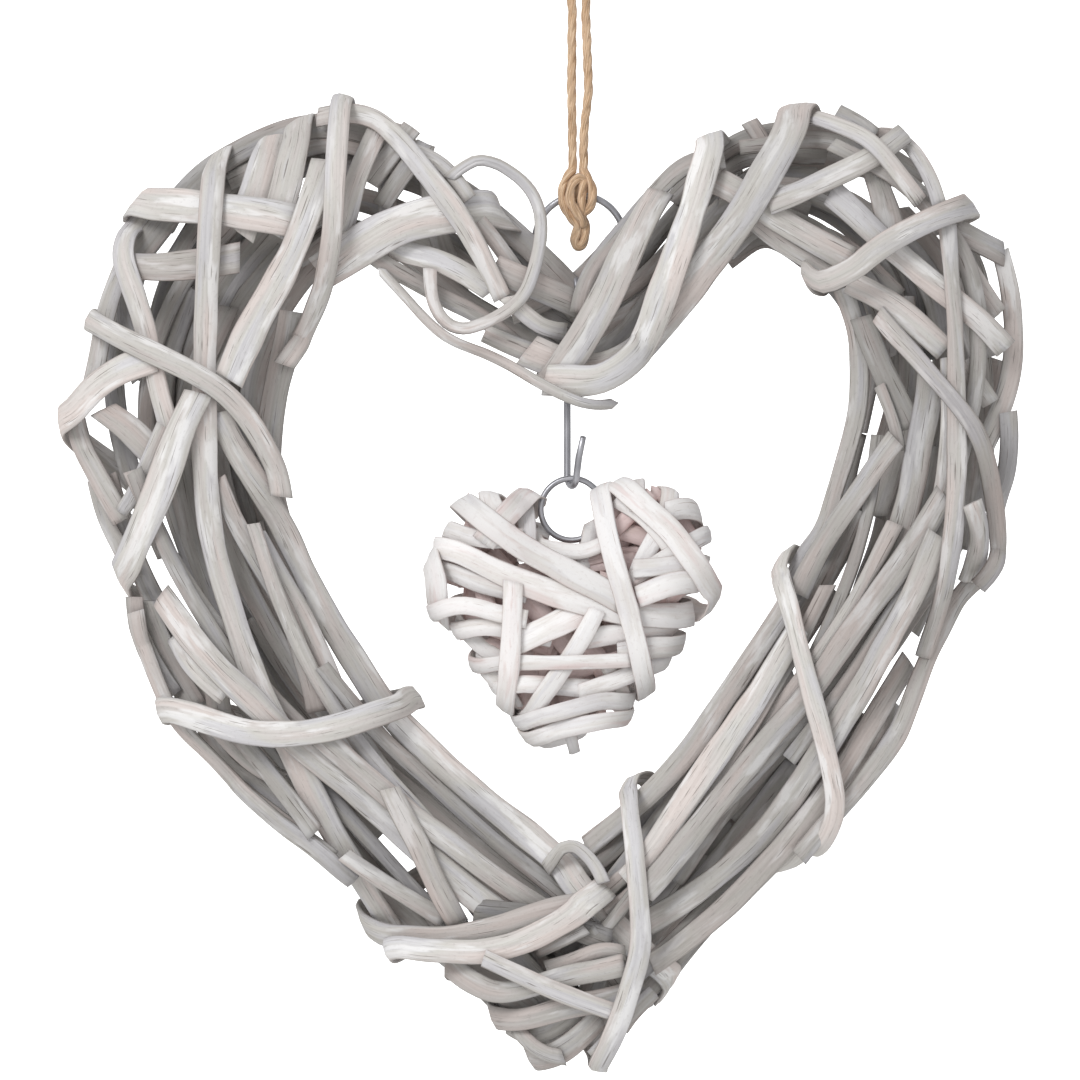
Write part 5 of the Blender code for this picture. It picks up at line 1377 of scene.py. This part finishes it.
def twisted(points, diameter, start=0.0):
    """The arrays of plies that twist round a route in millimetres, and the route's fine points."""
    fine = even_points(np.array([point for _, _, point in curve_through(points)]), 0.5)
    ply = diameter * PLY_SHARE
    travelled = distances_along(fine)
    along = np.gradient(fine, axis=0)
    along /= np.linalg.norm(along, axis=1, keepdims=True)
    firsts, seconds = carried_frames(along, [0.2, 0.95, 0.1])
    made = []
    for number in range(PLIES):
        angle = start + travelled / TWIST_PITCH * 2 * math.pi + number * 2 * math.pi / PLIES
        way = np.cos(angle)[:, None] * firsts + np.sin(angle)[:, None] * seconds
        offset = (diameter / 2 - ply) * way
        random = np.random.default_rng(PLY_SEED + number)
        swell = ply * (1.0 + waves(random, travelled, 3.0, 0.05) + waves(random, travelled, 11.0, 0.05))
        made.append(tube_arrays(fine + offset, swell, 10, ends=0.5))
    return made, fine


def loose_fibres(line, count, seed, spread):
    """Thin curved hairs that stand off the twine."""
    random = np.random.default_rng(seed)
    made = []
    for _ in range(count):
        spot = line[int(random.integers(2, len(line) - 2))]
        out = random.normal(0, 1, 3)
        out /= np.linalg.norm(out)
        curl = random.normal(0, FIBRE_BEND, 3)
        reach = random.uniform(*FIBRE_REACH)
        begin = spot + out * spread * 0.8
        steps = np.linspace(0, 1, 6)[:, None]
        hair = begin + out * reach * steps * 0.7 + curl * steps**2
        made.append(tube_arrays(hair, FIBRE_RADIUS, 3, ends=0.4))
    return made


# %% The loop and its knot
CORD_FIBRES = 90
KNOT_FIBRES = 12

cord_arrays, cord_line = twisted([(x, -y, z) for x, z, y in CORD_ROUTE], CORD_DIAMETER)
cord_arrays += loose_fibres(cord_line, CORD_FIBRES, 3, CORD_DIAMETER / 2)
twine = mesh_object("hanging_twine", cord_arrays, jute)
knot_arrays = []
for number, route in enumerate(KNOT_ROUTES):
    arrays, line = twisted([(x, -y, z) for x, z, y in route], KNOT_DIAMETER, start=number)
    knot_arrays += arrays + loose_fibres(line, KNOT_FIBRES, 7 + number, CORD_DIAMETER / 2)
knot = mesh_object("twine_knot", knot_arrays, jute)
for item, node in ((twine, "hanging_cord"), (knot, "cord_knot")):
    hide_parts(node)

# %% [markdown]
# ## Floor and light
# The photograph has a plain white ground and soft light from all round, a little stronger from the upper
# left. A white world would give both, but a world bright enough for a white ground washes the willow out.
# So the world is dimmer, a sheet of lit white paper far behind the wreath makes the ground white, and one
# large area light at the upper left gives the direction. The floor is pale and lies below the hanging
# wreath.

# %% The floor
FLOOR_BELOW = 0.62
FLOOR_RADIUS = 3.2
bpy.ops.mesh.primitive_circle_add(vertices=96, radius=FLOOR_RADIUS, fill_type="NGON",
                                  location=(0, 0, -FLOOR_BELOW))
floor = bpy.context.object
floor.name = "floor"
floor_material, _, floor_shader = new_material("pale_floor")
floor_shader.inputs["Base Color"].default_value = linear("#f2f2f1")
floor_shader.inputs["Roughness"].default_value = 0.9
floor.data.materials.append(floor_material)

# %% The paper behind
BACKDROP_BEHIND = 4.2
BACKDROP_SIZE = 2.4
MIDDLE_HEIGHT = -0.2
bpy.ops.mesh.primitive_plane_add(size=BACKDROP_SIZE, location=(0, BACKDROP_BEHIND, MIDDLE_HEIGHT),
                                 rotation=(math.radians(90), 0, 0))
backdrop = bpy.context.object
backdrop.name = "backdrop"
backdrop_material, _, backdrop_shader = new_material("lit_white_paper")
backdrop_shader.inputs["Base Color"].default_value = linear("#ffffff")
backdrop_shader.inputs["Emission Color"].default_value = linear("#ffffff")
backdrop_shader.inputs["Emission Strength"].default_value = 1.0
backdrop.data.materials.append(backdrop_material)

# %% World and key light
WORLD_STRENGTH = 0.66
KEY_PLACE = (-0.9, -1.3, 0.7)
KEY_SIZE = 0.7
KEY_POWER = 15.0

world = bpy.data.worlds.new("studio")
world.use_nodes = True
world.node_tree.nodes["Background"].inputs["Color"].default_value = (1, 1, 1, 1)
world.node_tree.nodes["Background"].inputs["Strength"].default_value = WORLD_STRENGTH
bpy.context.scene.world = world


def area_light(name, location, target, size, power):
    """A square light turned towards its target."""
    data = bpy.data.lights.new(name, "AREA")
    data.size = size
    data.energy = power
    light = bpy.data.objects.new(name, data)
    light.location = location
    way = np.array(target) - np.array(location)
    light.rotation_euler = (math.atan2(math.hypot(way[0], way[1]), -way[2]), 0,
                            math.atan2(way[1], way[0]) - math.pi / 2)
    bpy.context.scene.collection.objects.link(light)


area_light("key_light", KEY_PLACE, (0, 0, MIDDLE_HEIGHT), KEY_SIZE, KEY_POWER)
bpy.context.scene.view_settings.view_transform = "Standard"
bpy.context.scene.view_settings.look = "None"
